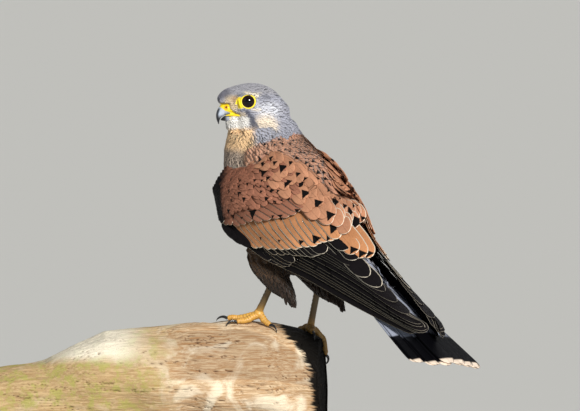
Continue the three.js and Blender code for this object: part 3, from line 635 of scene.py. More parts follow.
def with_alpha(colours):
    return np.concatenate([colours, np.ones((*colours.shape[:-1], 1))], -1)


def new_material(name):
    made = bpy.data.materials.new(name)
    made.use_nodes = True
    return made, made.node_tree, made.node_tree.nodes["Principled BSDF"]


def put(tree, kind, **settings):
    """A node of a tree, with its settings and, by number or name, its inputs' values or links."""
    node = tree.nodes.new(kind)
    for key, value in settings.items():
        if key == "inputs":
            for place, given in value.items():
                given = getattr(given, "socket", given)
                if isinstance(given, bpy.types.NodeSocket):
                    tree.links.new(given, node.inputs[place])
                else:
                    node.inputs[place].default_value = given
        else:
            setattr(node, key, value)
    return node


def tinted(tree, share, under, over, kind="MIX"):
    """One colour mixed over another by a share."""
    node = tree.nodes.new("ShaderNodeMix")
    node.data_type = "RGBA"
    node.blend_type = kind
    for place, given in {0: share, 6: under, 7: over}.items():
        socket = node.inputs[place]
        given = getattr(given, "socket", given)
        if isinstance(given, bpy.types.NodeSocket):
            tree.links.new(given, socket)
        elif isinstance(given, (int, float)):
            socket.default_value = given
        else:
            socket.default_value = (*given[:3], 1)
    return node.outputs[2]


def new_group(name, inputs, outputs):
    tree = bpy.data.node_groups.new(name, "ShaderNodeTree")
    for label, kind, value in inputs:
        socket = tree.interface.new_socket(label, in_out="INPUT", socket_type=kind)
        if value is not None:
            socket.default_value = value
    for label, kind in outputs:
        tree.interface.new_socket(label, in_out="OUTPUT", socket_type=kind)
    given, wanted = tree.nodes.new("NodeGroupInput"), tree.nodes.new("NodeGroupOutput")
    return tree, given.outputs, wanted.inputs


def noted(tree, name, output="Fac"):
    """What a piece's mesh carries under a name, as a socket."""
    return put(tree, "ShaderNodeAttribute", attribute_name=name).outputs[output]


def finish(shader, **values):
    """Values on the shader's own sockets; an underscore stands for the space in a socket's name."""
    for name, value in values.items():
        shader.inputs[name.replace("_", " ")].default_value = value


def bumped(tree, shader, height, strength, distance):
    """Relief of a height in metres on the shader's normal."""
    inputs = {"Strength": strength, "Distance": distance, "Height": height}
    tree.links.new(put(tree, "ShaderNodeBump", inputs=inputs).outputs[0], shader.inputs["Normal"])


def grain_group():
    """Fine grain of down, horn and scales: it shades a tone softly and gives a height."""
    inputs = [("Tone", "NodeSocketColor", None)]
    inputs += [(label, "NodeSocketFloat", 1.0) for label in ("Share", "Scale", "Detail")]
    outputs = [("Color", "NodeSocketColor"), ("Height", "NodeSocketFloat")]
    tree, given, wanted = new_group("fine grain", inputs, outputs)
    values = {"Scale": given["Scale"], "Detail": given["Detail"]}
    values[0] = put(tree, "ShaderNodeTexCoord").outputs["Object"]
    speck = put(tree, "ShaderNodeTexNoise", inputs=values).outputs
    made = tinted(tree, given["Share"], given["Tone"], speck[1], "SOFT_LIGHT")
    tree.links.new(made, wanted["Color"])
    tree.links.new(speck[0], wanted["Height"])
    return tree


FINE_GRAIN = grain_group()


def grained(tree, shader, scale, strength, distance, tone=None, share=0.0, detail=4.0):
    """Fine grain in a material's relief and, where a tone is given, softly in its colour."""
    values = {"Share": share, "Scale": scale, "Detail": detail}
    grain = put(tree, "ShaderNodeGroup", node_tree=FINE_GRAIN, inputs=values)
    if tone is not None:
        tree.links.new(tone, grain.inputs["Tone"])
        tree.links.new(grain.outputs["Color"], shader.inputs["Base Color"])
    bumped(tree, shader, grain.outputs["Height"], strength, distance)


BARE_YELLOW, SHADED_DOWN = colour(246, 222, 44), colour(46, 36, 32)
places = bird(vertices_of(skin))
local = to_head(places)
bare = lore_patch(*local.T) | on_cere(local[:, 0], local[:, 2])
tone = np.where(bare[:, None], BARE_YELLOW, ground_at(places)[0] * 0.8)
# painted shade: the skin darkens to SHADED_DOWN where it lies under the folded wings
under_wing = smooth(5.0, 3.0, wing_gap(places)) * smooth(0.62, 0.5, on_trunk(places)[1])
tone = laid(tone, under_wing * smooth(118, 106, places[:, 2]), SHADED_DOWN)
note(skin, "ground", "FLOAT_COLOR", with_alpha(tone))
down, tree, shader = new_material("down")
grained(tree, shader, 900.0, 0.6, 0.0004, tone=noted(tree, "ground", "Color"), share=0.5)
finish(shader, Roughness=0.85, Sheen_Weight=0.3)
skin.data.materials.append(down)


# ---- Eyes ----
# Large dark eyes under a clear cornea, each in a bare yellow ring with a thin black lid margin and
# with a bare drop of yellow skin between eye and cere, a low smooth swelling.
EYE_RADIUS = 6.3
YELLOW_SKIN, LID_BLACK = colour(246, 218, 36), colour(24, 20, 18)
PUPIL, IRIS, IRIS_EDGE = colour(8, 6, 6), colour(26, 13, 9), (0.40, 0.44)
LID_TILT = np.array([0.22, 1, 0.06])
LORE_AT, LORE_SIZE = np.array([12.2, 9.8, 3.2]), (4.6, 4.4, 1.1)
SIDES = ((1, "left"), (-1, "right"))


def settle(piece):
    """Applies a piece's own place, turn and size, and shades it smooth."""
    bpy.ops.object.select_all(action="DESELECT")
    piece.select_set(True)
    bpy.context.view_layer.objects.active = piece
    bpy.ops.object.transform_apply(location=True, rotation=True, scale=True)
    bpy.ops.object.shade_smooth()
    return piece


def glossy(name, tone, roughness, coat=0.0, grain=None):
    """A plain glossy material with, where given, the scale and height of a fine grain."""
    made, tree, shader = new_material(name)
    finish(shader, Base_Color=(*tone, 1), Roughness=roughness)
    finish(shader, Coat_Weight=coat, Coat_Roughness=0.03)
    if grain:
        grained(tree, shader, grain[0], 0.5, grain[1])
    return made


class Reading:
    """A value that changes over a surface, reckoned with like a number by Math nodes."""

    def __init__(self, tree, socket):
        self.tree, self.socket = tree, socket

    def reckon(self, operation, *values):
        inputs = dict(enumerate(values))
        made = put(self.tree, "ShaderNodeMath", operation=operation, inputs=inputs)
        return Reading(self.tree, made.outputs[0])

    def __add__(self, other):
        return self.reckon("ADD", self, other)

    def __sub__(self, other):
        return self.reckon("SUBTRACT", self, other)

    def __rsub__(self, other):
        return self.reckon("SUBTRACT", other, self)

    def __mul__(self, other):
        return self.reckon("MULTIPLY", self, other)

    def __truediv__(self, other):
        return self.reckon("DIVIDE", self, other)

    def __abs__(self):
        return self.reckon("ABSOLUTE", self)

    def sine(self):
        return self.reckon("SINE", self)

    def least(self, other):
        return self.reckon("MINIMUM", self, other)

    def most(self, other):
        return self.reckon("MAXIMUM", self, other)

    def step(self, low, high):
        """A soft step of the value from 0 at low to 1 at high."""
        inputs = {0: self, 1: low, 2: high, 3: 0.0, 4: 1.0}
        kind = {"interpolation_type": "SMOOTHSTEP", "inputs": inputs}
        return Reading(self.tree, put(self.tree, "ShaderNodeMapRange", **kind).outputs[0])


eye_dark, tree, shader = new_material("eye")
iris = Reading(tree, noted(tree, "polar")).step(*IRIS_EDGE)
tree.links.new(tinted(tree, iris, PUPIL, IRIS), shader.inputs["Base Color"])
finish(shader, Roughness=0.6, Specular_IOR_Level=0.0, Coat_Weight=0.7, Coat_Roughness=0.02)
bare_skin = glossy("bare skin", YELLOW_SKIN, 0.45, 0.15, (1800, 0.0002))
lid_margin = glossy("lid margin", LID_BLACK, 0.5)
# each lid's name, radius, half thickness, height over the eye's middle, material and slot
LIDS = (
    ("ring", 5.3, 0.78, 3.8, bare_skin, "bill_horn"),
    ("rim", 4.72, 0.2, 4.3, lid_margin, "eye"),
)
for side, name in SIDES:
    centre = world(from_head(EYE_AT * np.array([1, side, 1])))
    outward = unit(LID_TILT * [1, side, 1]) @ HEAD_AXES.T
    bpy.ops.mesh.primitive_uv_sphere_add(segments=48, ring_count=32, radius=EYE_RADIUS / 1000)
    eyeball = bpy.context.object
    eyeball.name = "eye_ball_" + name
    height = np.clip(vertices_of(eyeball)[:, 2] * 1000 / EYE_RADIUS, -1, 1)
    note(eyeball, "polar", "FLOAT", np.arccos(height))
    eyeball.rotation_euler = Vector(outward).to_track_quat("Z", "Y").to_euler()
    eyeball.location = Vector(centre)
    settle(eyeball)
    eyeball.data.materials.append(eye_dark)
    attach(eyeball, "root")
    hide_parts("eye_" + name)
    across = unit(np.cross([0, 0, 1.0], outward))
    above = np.cross(outward, across)
    axes = Matrix(np.stack([across, above * 0.98, outward], -1).tolist()).to_4x4()
    for kind, major, minor, high, made, slot in LIDS:
        bpy.ops.mesh.primitive_torus_add(
            major_radius=major / 1000,
            minor_radius=minor / 1000,
            major_segments=64,
            minor_segments=16,
        )
        lid = bpy.context.object
        lid.name = "eye_" + kind + "_" + name
        lid.matrix_world = Matrix.Translation(Vector(centre + outward * high / 1000)) @ axes
        settle(lid)
        lid.data.materials.append(made)
        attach(lid, "root")

for side, name in SIDES:
    place, facing, _, _ = skin_tree.find_nearest(Vector(world(from_head(LORE_AT * [1, side, 1]))))
    bpy.ops.mesh.primitive_uv_sphere_add(segments=40, ring_count=24, radius=0.001)
    lore = bpy.context.object
    lore.name = "eye_lore_" + name
    top = Vector(HEAD_AXES @ np.array([0.35, 0, 1.0]))
    along = top.cross(facing).normalized()
    axes = np.stack([along, facing.cross(along), facing], -1) * LORE_SIZE
    lore.matrix_world = Matrix.Translation(place + facing * 0.0004) @ Matrix(axes.tolist()).to_4x4()
    settle(lore)
    turned_out(lore)
    lore.data.materials.append(bare_skin)
    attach(lore, "root")


# ---- Bill ----
# Two horny halves, bluish at the base and black at the hooked tip, in a yellow cere with round
# nostrils; the yellow gape runs back along the mouth to under the eye.
# stations of each half: forward and up on its ridge, forward and up on its edge, half the width
BILL_UPPER = np.array(
    [
        [16, 4.6, 13, -5.6, 8.2],
        [21.5, 3.5, 19, -5.2, 6],
        [25.4, 2.3, 22.6, -5.2, 4.7],
        [28.2, -0.8, 24.6, -6.6, 3.5],
        [29.7, -4.8, 26, -7, 2.6],
        [29.6, -8.6, 27.3, -9.4, 1.5],
        [28.4, -12.1, 27.9, -12.4, 0.4],
    ]
)
BILL_LOWER = np.array(
    [
        [12.6, -6.4, 12, -10.6, 7.6],
        [18.5, -5.9, 17.5, -10.7, 5.4],
        [22, -5.9, 21.5, -10.4, 4.2],
        [24.6, -7.3, 24.4, -10, 2.9],
        [26.4, -8.8, 26.2, -9.5, 1.1],
    ]
)
NOSTRIL = np.array([22.5, 4.6, 0.3])
NOSTRIL_DEPTH, NOSTRIL_LIP, CERE_SIDES, CERE_TOP, TOOTH_DEPTH = 1.1, 0.25, 0.18, 0.2, 0.5
HORN_BLUE, HORN_BLACK, TIP_BLACK = colour(186, 196, 212), colour(30, 32, 40), colour(22, 22, 25)
RIDGE_BLACK = colour(26, 28, 36)
NOSTRIL_RIM, NOSTRIL_DARK = colour(206, 120, 30), colour(30, 16, 8)
LOWER_BASE, LOWER_TIP = colour(150, 156, 170), colour(20, 20, 24)
# the corner and the edge of the mouth, along which the gape runs, and the gape's thickness there
MOUTH = np.array(
    [[11.4, 9.6, -6.4], [14.5, 8.6, -5.9], [18, 6.9, -5.55], [21.5, 5.35, -5.5], [23.2, 4.5, -5.9]]
)
GAPE = [0.5, 0.75, 0.62, 0.5, 0.3]


def bill_rings(stations, squareness, steps, sides):
    """Rings of one half of the bill, from its root to its tip."""
    t = np.linspace(0, 1, steps)
    rx, rz, ex, ez, half = curve(stations, t).T
    half = np.maximum(half, 0.12) * smooth(1.02, 0.93, t) ** 0.5
    zero = np.zeros(steps)
    ridge, edge = np.stack([rx, zero, rz], -1), np.stack([ex, zero, ez], -1)
    wide = np.stack([zero, half, zero], -1)
    return oval_rings((ridge + edge) / 2, (edge - ridge) / 2, wide, squareness, sides)


def horn_piece(name, rings, shown):
    """One half of the bill with its colours, closed at both ends."""
    piece = closed_rings(name, from_head(rings))
    tones = np.concatenate([shown.reshape(-1, 3), [shown[0].mean(0), shown[-1].mean(0)]])
    note(piece, "ground", "FLOAT_COLOR", with_alpha(tones))
    return piece


horn_material, tree, shader = new_material("bill")
tone = noted(tree, "ground", "Color")
grained(tree, shader, 700.0, 0.35, 0.0002, tone=tone, share=0.25, detail=5.0)
finish(shader, Roughness=0.33, Coat_Weight=0.25, Coat_Roughness=0.2)

rings = bill_rings(BILL_UPPER, 1.9, 110, 72)
f, l, u = rings[..., 0], rings[..., 1], rings[..., 2]
near = NOSTRIL * np.stack([f * 0 + 1, np.sign(l + 1e-9), f * 0 + 1], -1)
hole = np.linalg.norm(rings - near, axis=-1)
pit = smooth(1.0, 0.55, hole)
swell = smooth(2.1, 1.1, hole) * (1 - pit)
rings[..., 1] += np.sign(l) * (swell * NOSTRIL_LIP - pit * NOSTRIL_DEPTH)
seam = np.interp(u, [-5.4, -4.5, -3.2, -2, 1, 3], [13.5, 16.4, 20.4, 23.6, 26.8, 27.6])
cere = smooth(seam + 0.35, seam - 0.35, f)
rings[..., 1] += np.sign(l) * cere * CERE_SIDES
rings[..., 2] += cere * smooth(-3, 2, u) * CERE_TOP
tooth = np.exp(-(((f - 25.9) / 0.55) ** 2)) * smooth(-6.6, -7.2, u)
rings[..., 2] -= tooth * TOOTH_DEPTH
ridge = np.interp(u, [-12.1, -8.6, -4.8, -0.8, 2.3], [28.4, 29.6, 29.7, 28.2, 25.4])
shown = np.broadcast_to(HORN_BLUE, rings.shape)
for share, over in (
    (smooth(-3.4, -8.2, u + (28.5 - f) * 0.35), HORN_BLACK),
    (smooth(27.4, 29.6, f + (-u - 8) * 0.2) * 0.55, TIP_BLACK),
    (smooth(-1.7, -0.6, f - ridge) * smooth(0.6, -1.0, u) * 0.9, RIDGE_BLACK),
    (cere, YELLOW_SKIN),
    (swell * cere * 0.8, NOSTRIL_RIM),
    (pit, NOSTRIL_DARK),
):
    shown = blend(shown, over, share[..., None])
upper = horn_piece("bill_upper_horn", rings, shown)

rings = bill_rings(BILL_LOWER, 2.2, 70, 56)
f = rings[..., :1]
horn = blend(LOWER_BASE, LOWER_TIP, smooth(21.5, 24.0, f))
lower = horn_piece("bill_lower_horn", rings, blend(horn, YELLOW_SKIN, smooth(20.6, 19.6, f)))


def tube(places, radii, steps, sides, flat=1.0):
    """Rings of a round rod along a curve through places."""
    t = np.linspace(0, 1, steps)
    line = curve(np.concatenate([places, np.asarray(radii, float)[:, None]], -1), t)
    at, girth = line[:, :3], line[:, 3]
    ahead = unit(np.gradient(at, axis=0))
    upright = np.where(np.abs(ahead[:, 2:]) > 0.95, [[1.0, 0, 0]], [[0, 0, 1.0]])
    across = unit(np.cross(upright, ahead))
    above = np.cross(ahead, across)
    angle = np.arange(sides) / sides * 2 * np.pi
    c, s = np.cos(angle), np.sin(angle)
    ring = across[:, None] * c[None, :, None] + above[:, None] * (s * flat)[None, :, None]
    return at[:, None] + ring * girth[:, None, None]


for side, name in SIDES:
    gape = closed_rings("gape_" + name, tube(from_head(MOUTH * [1, side, 1]), GAPE, 40, 12))
    gape.data.materials.append(bare_skin)
    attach(gape, "root")
for piece, node in ((upper, "bill_upper"), (lower, "bill_lower")):
    piece.data.materials.append(horn_material)
    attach(piece, "root")
    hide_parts(node)


# ---- Legs and feet ----
# Yellow scaled legs: broad scutes down the front of the shank and over each toe, pads under the
# joints, and long black claws that hook over the edge of the log.
# each leg's heel and ankle; each toe's name, length, bearing in degrees and drop over the log
LEGS = {
    "left": ([-15, 20, 38], [5, 20, 8.5]),
    "right": ([-20, -20, 34], [-9, -20, -4]),
}
TOES = {
    "left": [
        ("inner", 18, 6, 9),
        ("middle", 25, 42, 5),
        ("outer", 20, 66, 9),
        ("hind", 14, 192, 9),
    ],
    "right": [
        ("inner", 18, -4, 9),
        ("middle", 25, -40, 9),
        ("outer", 25, -88, 19),
        ("hind", 15, 150, 9),
    ],
}
BRANCH_BEARING = math.radians(50)
# the log along its length: place, height of its top, half its width and half its depth
BRANCH = np.array(
    [
        [-44, -26, 30, 31],
        [-28, -11, 35, 37],
        [-11, -4, 37, 41],
        [10, 0.5, 38, 42],
        [36, 2, 39, 43],
        [62, 1, 38, 42],
        [88, -2, 38, 40],
        [112, -4, 37, 39],
        [137, -6.5, 36, 38],
        [160, -17, 33, 34],
        [183, -28.5, 30, 29],
        [219, -34.5, 27, 26],
    ],
    float,
)
# the two slanted faces of its broken end: the way each one faces and a place on it
BRANCH_BREAKS = [((-0.99, 0.1, 0.03), (-31, -10, -20)), ((-0.62, 0.52, 0.59), (-18, 26, -20))]
SHANK, TOE_ROOT, TOE_TIP, JOINT_GAP = 2.5, 2.6, 1.75, 0.3
# the shank's girth in shares of SHANK, from heel to ankle, and how much painted shade greys
# each foot's toes; the right foot stands in the bird's shadow
SHANK_GIRTHS = ((0, 1.3), (0.3, 1), (0.75, 1), (0.98, 1.12))
TOE_PAINTED_SHADE = {"left": 0.1, "right": 0.5}
HUB_PLACES, HUB_GIRTHS = np.array([[-1, 0, 2.4], [0, 0, -1], [0.4, 0, -4.6]]), [2.2, 4.1, 2.2]
CLAW_LENGTH, CLAW_RADIUS, CLAW_BEND, CLAW_CLEAR = 9.5, 1.35, 80, 0.6
CLAW_RISE, CLAW_SLIM, CLAW_TIP, CLAW_STEPS = 0.62, 0.78, 0.08, 5
LEG_YELLOW, LEG_PAINTED_SHADE, CREASE_BROWN = colour(214, 162, 74), colour(98, 82, 52), colour(96, 66, 28)
CLAW_BLACK = colour(22, 21, 23)


def branch_top(x, y):
    """The height of the log's upper side under a place."""
    c, s = math.cos(BRANCH_BEARING), math.sin(BRANCH_BEARING)
    at, across = x * c + y * s, y * c - x * s
    top, half, deep = (np.interp(at, BRANCH[:, 0], BRANCH[:, k]) for k in (1, 2, 3))
    high = top - deep + deep * math.sqrt(max(1 - (across / half) ** 2, 0))
    for out, through in BRANCH_BREAKS:
        fall = (out[0] * (at - through[0]) + out[1] * (across - through[1])) / out[2]
        high = min(high, through[2] - fall)
    return high


def toe_path(ankle, length, bearing, drop):
    """The curve of a toe over the log, each place with the toe's girth."""
    x, y, z = ankle
    c, s = math.cos(math.radians(bearing)), math.sin(math.radians(bearing))
    level = math.sqrt(max(length**2 - drop**2, 9))
    girths = [TOE_ROOT * 1.1, TOE_ROOT, TOE_ROOT * 0.86, TOE_TIP * 1.15, TOE_TIP]
    made = [[x, y, z - 1.5, girths[0]]]
    for f, girth, arch in zip([0.3, 0.62, 0.85, 1], girths[1:], [1.6, 0.6, 1, 0.4]):
        px, py = x + c * level * f, y + s * level * f
        resting = branch_top(px, py) + girth * 0.9 + arch
        made.append([px, py, max(resting, z - 2 - f * 2 - drop * f**1.7), girth])
    return np.array(made)


def claw_path(path, bearing, bend, rise=0.0):
    """The curve of a claw from the end of its toe, bent down by some degrees along its length."""
    x, y, z = path[4][:3]
    level = math.hypot(x - path[3][0], y - path[3][1])
    slope = math.atan2(z - path[3][2], level)
    c, s = math.cos(math.radians(bearing)), math.sin(math.radians(bearing))
    reach = math.cos(slope) * (JOINT_GAP + 0.1) - math.sin(slope) * 0.5
    height = math.sin(slope) * (JOINT_GAP + 0.1) + math.cos(slope) * 0.5
    made = []
    for i in range(CLAW_STEPS + 1):
        girth = blend(CLAW_RADIUS, 0.3, (i / CLAW_STEPS) ** 1.3)
        made.append([x + c * reach, y + s * reach, z + height, girth])
        angle = slope + rise - math.radians(bend) * i / CLAW_STEPS
        reach += math.cos(angle) * CLAW_LENGTH / CLAW_STEPS
        height += math.sin(angle) * CLAW_LENGTH / CLAW_STEPS
    return np.array(made)


def sunk(path):
    """Whether a claw comes too near to the wood anywhere."""
    return any(branch_top(x, y) + girth + CLAW_CLEAR > z for x, y, z, girth in path)


def scaled(path, steps, sides, scutes, pads=0.0, rounded=True):
    """Rings of a scaled limb along a path with girths, and how deep in a crease each place is."""
    t = np.linspace(0, 1, steps)
    rings = tube(path[:, :3], path[:, 3], steps, sides)
    middle = curve(path, t)[:, :3]
    angle = np.arange(sides) / sides * 2 * np.pi
    upper = smooth(-0.3, 0.35, np.sin(angle))[None]
    place = (t * scutes)[:, None]
    saw = (place % 1.0) ** 1.5
    beads = np.sin(place * 2 * np.pi * 2 + np.cos(angle * 7)[None] * 1.5) * np.cos(angle * 9)[None]
    fine = 0.5 + 0.5 * beads
    under = np.maximum(0, np.cos((t - 0.06) * 2 * np.pi * 3.2))[:, None] * (1 - upper)
    grow = 1 + upper * (0.15 * saw - 0.05) + (1 - upper) * fine * 0.06 + pads * under
    if rounded:
        grow = grow * np.minimum(1, np.sqrt(np.maximum(1 - t, 0) / 0.06 + 0.02))[:, None]
    rings = middle[:, None] + (rings - middle[:, None]) * grow[..., None]
    crease = upper * (1 - smooth(0.0, 0.22, place % 1.0)) + (1 - upper) * (1 - fine) * 0.5
    return rings, crease


def limb(name, rings, crease, painted_shade, last=0.0):
    """A scaled limb, closed at both ends, that carries its creases and its painted shade."""
    piece = closed_rings(name, rings)
    for label, values, end in (("crease", crease, 0.0), ("painted_shade", painted_shade, last)):
        values = np.broadcast_to(values, rings.shape[:2]).ravel()
        note(piece, label, "FLOAT", np.concatenate([values, [end, end]]))
    return piece


leg_scales, tree, shader = new_material("scaled skin")
# the yellow turns grey-brown where painted shade falls on shank and toes
base = tinted(tree, noted(tree, "painted_shade"), LEG_YELLOW, LEG_PAINTED_SHADE)
base = tinted(tree, Reading(tree, noted(tree, "crease")) * 0.75, base, CREASE_BROWN)
grained(tree, shader, 900.0, 0.4, 0.0002, tone=base, share=0.3)
finish(shader, Roughness=0.42)
claw_horn = glossy("claw", CLAW_BLACK, 0.28, 0.3, (1500, 0.0001))


def joined(name, pieces):
    """Pieces made one object of one mesh."""
    bpy.ops.object.select_all(action="DESELECT")
    for piece in pieces:
        piece.select_set(True)
    bpy.context.view_layer.objects.active = pieces[0]
    bpy.ops.object.join()
    pieces[0].name = name
    return pieces[0]


for name, (heel, ankle) in LEGS.items():
    heel, ankle = np.array(heel, float), np.array(ankle, float)
    places = np.array([[*blend(heel, ankle, k), SHANK * girth] for k, girth in SHANK_GIRTHS])
    rings, crease = scaled(places, 90, 28, 17, rounded=False)
    # painted shade greys the shank most at the heel, under the thigh, and fades towards the ankle
    shank = limb("leg_" + name, rings, crease, smooth(1.15, 0.6, np.linspace(0, 1, 90))[:, None])
    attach(shank, "root")
    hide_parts("shank_" + name)
    painted_shade = TOE_PAINTED_SHADE[name]
    toes = []
    for toe, length, bearing, drop in TOES[name]:
        path = toe_path(ankle, length, bearing, drop)
        rings, crease = scaled(path, 84, 24, 9 if toe == "hind" else 13, pads=0.2)
        toes.append(limb("toe", rings, crease, painted_shade, painted_shade))
        bend = CLAW_BEND
        while bend > 10 and sunk(claw_path(path, bearing, bend)):
            bend -= 5
        # the claw bends on until its tip reaches the wood
        for turn in range(bend + 55, 185, 5):
            line = claw_path(path, bearing, turn, CLAW_RISE)
            if branch_top(*line[-1, :2]) + 0.2 > line[-1, 2]:
                break
        line[:, 3] *= CLAW_SLIM
        line = np.concatenate([[line[0] - (line[1] - line[0]) * 0.35], line])
        line[0, 3], line[-1, 3] = CLAW_RADIUS * 0.8, CLAW_TIP
        rings = tube(line[:, :3], line[:, 3], 40, 16, flat=1.15)
        claw = closed_rings("claw_horn_" + name + "_" + toe, rings)
        claw.data.materials.append(claw_horn)
        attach(claw, "root")
        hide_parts("claw_" + name + "_" + toe)
    hub = limb("hub", tube(ankle + HUB_PLACES, HUB_GIRTHS, 24, 28), 0.0, painted_shade, painted_shade)
    foot = joined("toes_" + name, [*toes, hub])
    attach(foot, "root")
    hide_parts("foot_" + name)
    for piece in (shank, foot):
        piece.data.materials.append(leg_scales)


# ---- Body coat ----
# Contour feathers over head, neck, trunk and thighs. Each one springs from the skin, follows it in
# the lie of the coat and covers the roots of those behind; they are smallest round the bill.
random = np.random.default_rng(7)
COAT_ROWS = np.array([0.0, 0.28, 0.55, 0.8, 0.94, 1.0])
COAT_SHAPE = np.array([0.4, 0.85, 1.0, 0.86, 0.55, 0.14])
SUNK_ROOT, THIGH_HEM = -0.35, 36
# roots tried for each that finds room, and the share of the spacing that has to stay free
ROOT_TRIES, ROOT_GAP = 5, 0.82
# a feather leaves the skin where it falls away by this share of a step, or turns from this cosine
SKIN_FALLS, SKIN_TURNS = 0.35, 0.8
# where the lie of the feathers parts, in the head's frame, and each thigh from its two ends
BILL_TIP = np.array([27.0, 0, -1.0])
THIGHS = (((-15, 20, 38), (-38, 21, 18)), ((-20, -20, 34), (-49, -19, 13)))
INK = colour(14, 11, 11)
FAR = 9.0  # a rim so far off that no fringe shows


def vane_group():
    """The pattern of one vane, by its place along and across the vane in millimetres: a dark spot
    or streak on the shaft, a pale fringe, and barbs that slant from shaft to edge."""
    tree, given, wanted = new_group(
        "vane pattern",
        [
            ("Ground", "NodeSocketColor", None),
            ("Place", "NodeSocketVector", None),
            ("Trait", "NodeSocketVector", None),
            ("Rim", "NodeSocketFloat", FAR),
            ("Mark", "NodeSocketVector", None),
            ("Ink", "NodeSocketColor", (*INK, 1)),
            ("Fringe", "NodeSocketColor", (*CREAM, 1)),
            ("Pale", "NodeSocketFloat", 1.0),
            ("Barb", "NodeSocketFloat", 0.8),
            ("Shaft", "NodeSocketFloat", 0.2),
            ("Contrast", "NodeSocketFloat", 0.16),
        ],
        [
            ("Color", "NodeSocketColor"),
            ("Roughness", "NodeSocketFloat"),
            ("Height", "NodeSocketFloat"),
        ],
    )

    def parts(name):
        parted = put(tree, "ShaderNodeSeparateXYZ", inputs={0: given[name]})
        return [Reading(tree, socket) for socket in parted.outputs]

    def grain(scale):
        values = {0: objects, "Scale": scale, "Detail": 3.0}
        return Reading(tree, put(tree, "ShaderNodeTexNoise", inputs=values).outputs[0])

    objects = put(tree, "ShaderNodeTexCoord").outputs["Object"]
    left, across, seed = parts("Place")
    spot, fringe, streak = parts("Trait")
    mark_left, mark_across, fade = parts("Mark")
    rim, pale, barb, quill, contrast = (
        Reading(tree, given[name]) for name in ("Rim", "Pale", "Barb", "Shaft", "Contrast")
    )
    off = abs(across)
    fine, broad = grain(900.0), grain(110.0)
    ragged = fine - 0.5
    # the spot: an arrow head on the shaft that points to the root
    aside = abs(across - mark_across)
    inside = aside * 0.05 + (spot * 0.8 + (left - mark_left))
    wide = spot * 1.3 * (1.0 - inside / (spot * 2.2 + 0.01))
    clear = (wide - aside).least(inside) + ragged * 1.3
    spotted = clear.step(-0.12, 0.3) * spot.step(0.1, 0.3)
    # the streak: dark along the shaft, drawn out to a point
    thin = streak * left.step(0.1, 1.6) - off
    streaked = (thin + ragged * 0.5).step(-0.1, 0.22) * streak.step(0.02, 0.2)
    # the fringe: pale along the outline
    near = ragged * (fringe * 0.7) + rim
    fringed = (1.0 - (near / (fringe + 0.01)).step(0.7, 1.25)) * fringe.step(0.02, 0.1)
    fringed = fringed * pale * (1.0 - fade)
    # barbs and shaft
    wave = ((seed * 9.0 + (off * 0.8 + left)) / barb * 6.283).sine() * (fine + 0.2)
    shaft = 1.0 - off.step(quill * 0.5, quill)
    tone = (broad - 0.5) * 0.5 + wave * contrast + ragged * 0.5 + shaft * -0.2 + 1.0
    shade = put(tree, "ShaderNodeCombineXYZ", inputs={0: tone, 1: tone, 2: tone}).outputs[0]
    made = tinted(tree, 1.0, given["Ground"], shade, "MULTIPLY")
    made = tinted(tree, fringed, made, given["Fringe"])
    made = tinted(tree, spotted.most(streaked), made, given["Ink"])
    tree.links.new(made, wanted["Color"])
    tree.links.new((fine * 0.25 + 0.5).socket, wanted["Roughness"])
    tree.links.new((wave * 0.5 + shaft).socket, wanted["Height"])
    return tree


VANE_GROUP = vane_group()


def vane_material(name, ink, pale, barb, shaft, contrast, relief=0.00005, sheen=0.08):
    """Feathers of one kind: the vane pattern with its own ink, barbs, shaft and relief."""
    made, tree, shader = new_material(name)
    values = {"Ink": (*ink, 1), "Pale": pale, "Barb": barb, "Shaft": shaft, "Contrast": contrast}
    for label, output in (("Ground", "Color"), ("Rim", "Fac")):
        values[label] = noted(tree, label.lower(), output)
    for label in ("Place", "Trait", "Mark"):
        values[label] = noted(tree, label.lower(), "Vector")
    node = put(tree, "ShaderNodeGroup", node_tree=VANE_GROUP, inputs=values)
    tree.links.new(node.outputs["Color"], shader.inputs["Base Color"])
    tree.links.new(node.outputs["Roughness"], shader.inputs["Roughness"])
    bumped(tree, shader, node.outputs["Height"], 0.5, relief)
    finish(shader, Sheen_Weight=sheen, Sheen_Roughness=0.45, Specular_IOR_Level=0.1)
    return made


def loop_vertices(piece):
    corners = np.empty(len(piece.data.loops), np.int32)
    piece.data.loops.foreach_get("vertex_index", corners)
    return corners


# One feather is a thin closed vane: rows of its centre line from root to tip, each with its half
# width as a vector and its outward normal. The crown stands up along the shaft and the underside
# is flat. Each feather's patch of the OFBake map lies at the place of its root.
def vane_faces(rows, columns):
    """The faces of one vane, first its upper side; a triangle repeats its last corner."""
    grid = np.arange(rows * columns).reshape(rows, columns)
    faces = list(grid_faces(rows, columns))
    faces += [[grid[r, 0], grid[r + 1, 0], grid[r + 1, -1], grid[r, -1]] for r in range(rows - 1)]
    middle = columns // 2
    for end in (grid[0][::-1], grid[-1]):
        faces += [[end[c], end[-1 - c], end[-2 - c], end[c + 1]] for c in range(middle - 1)]
        faces.append([end[middle - 1], end[middle + 1], end[middle], end[middle]])
    return np.array(faces)


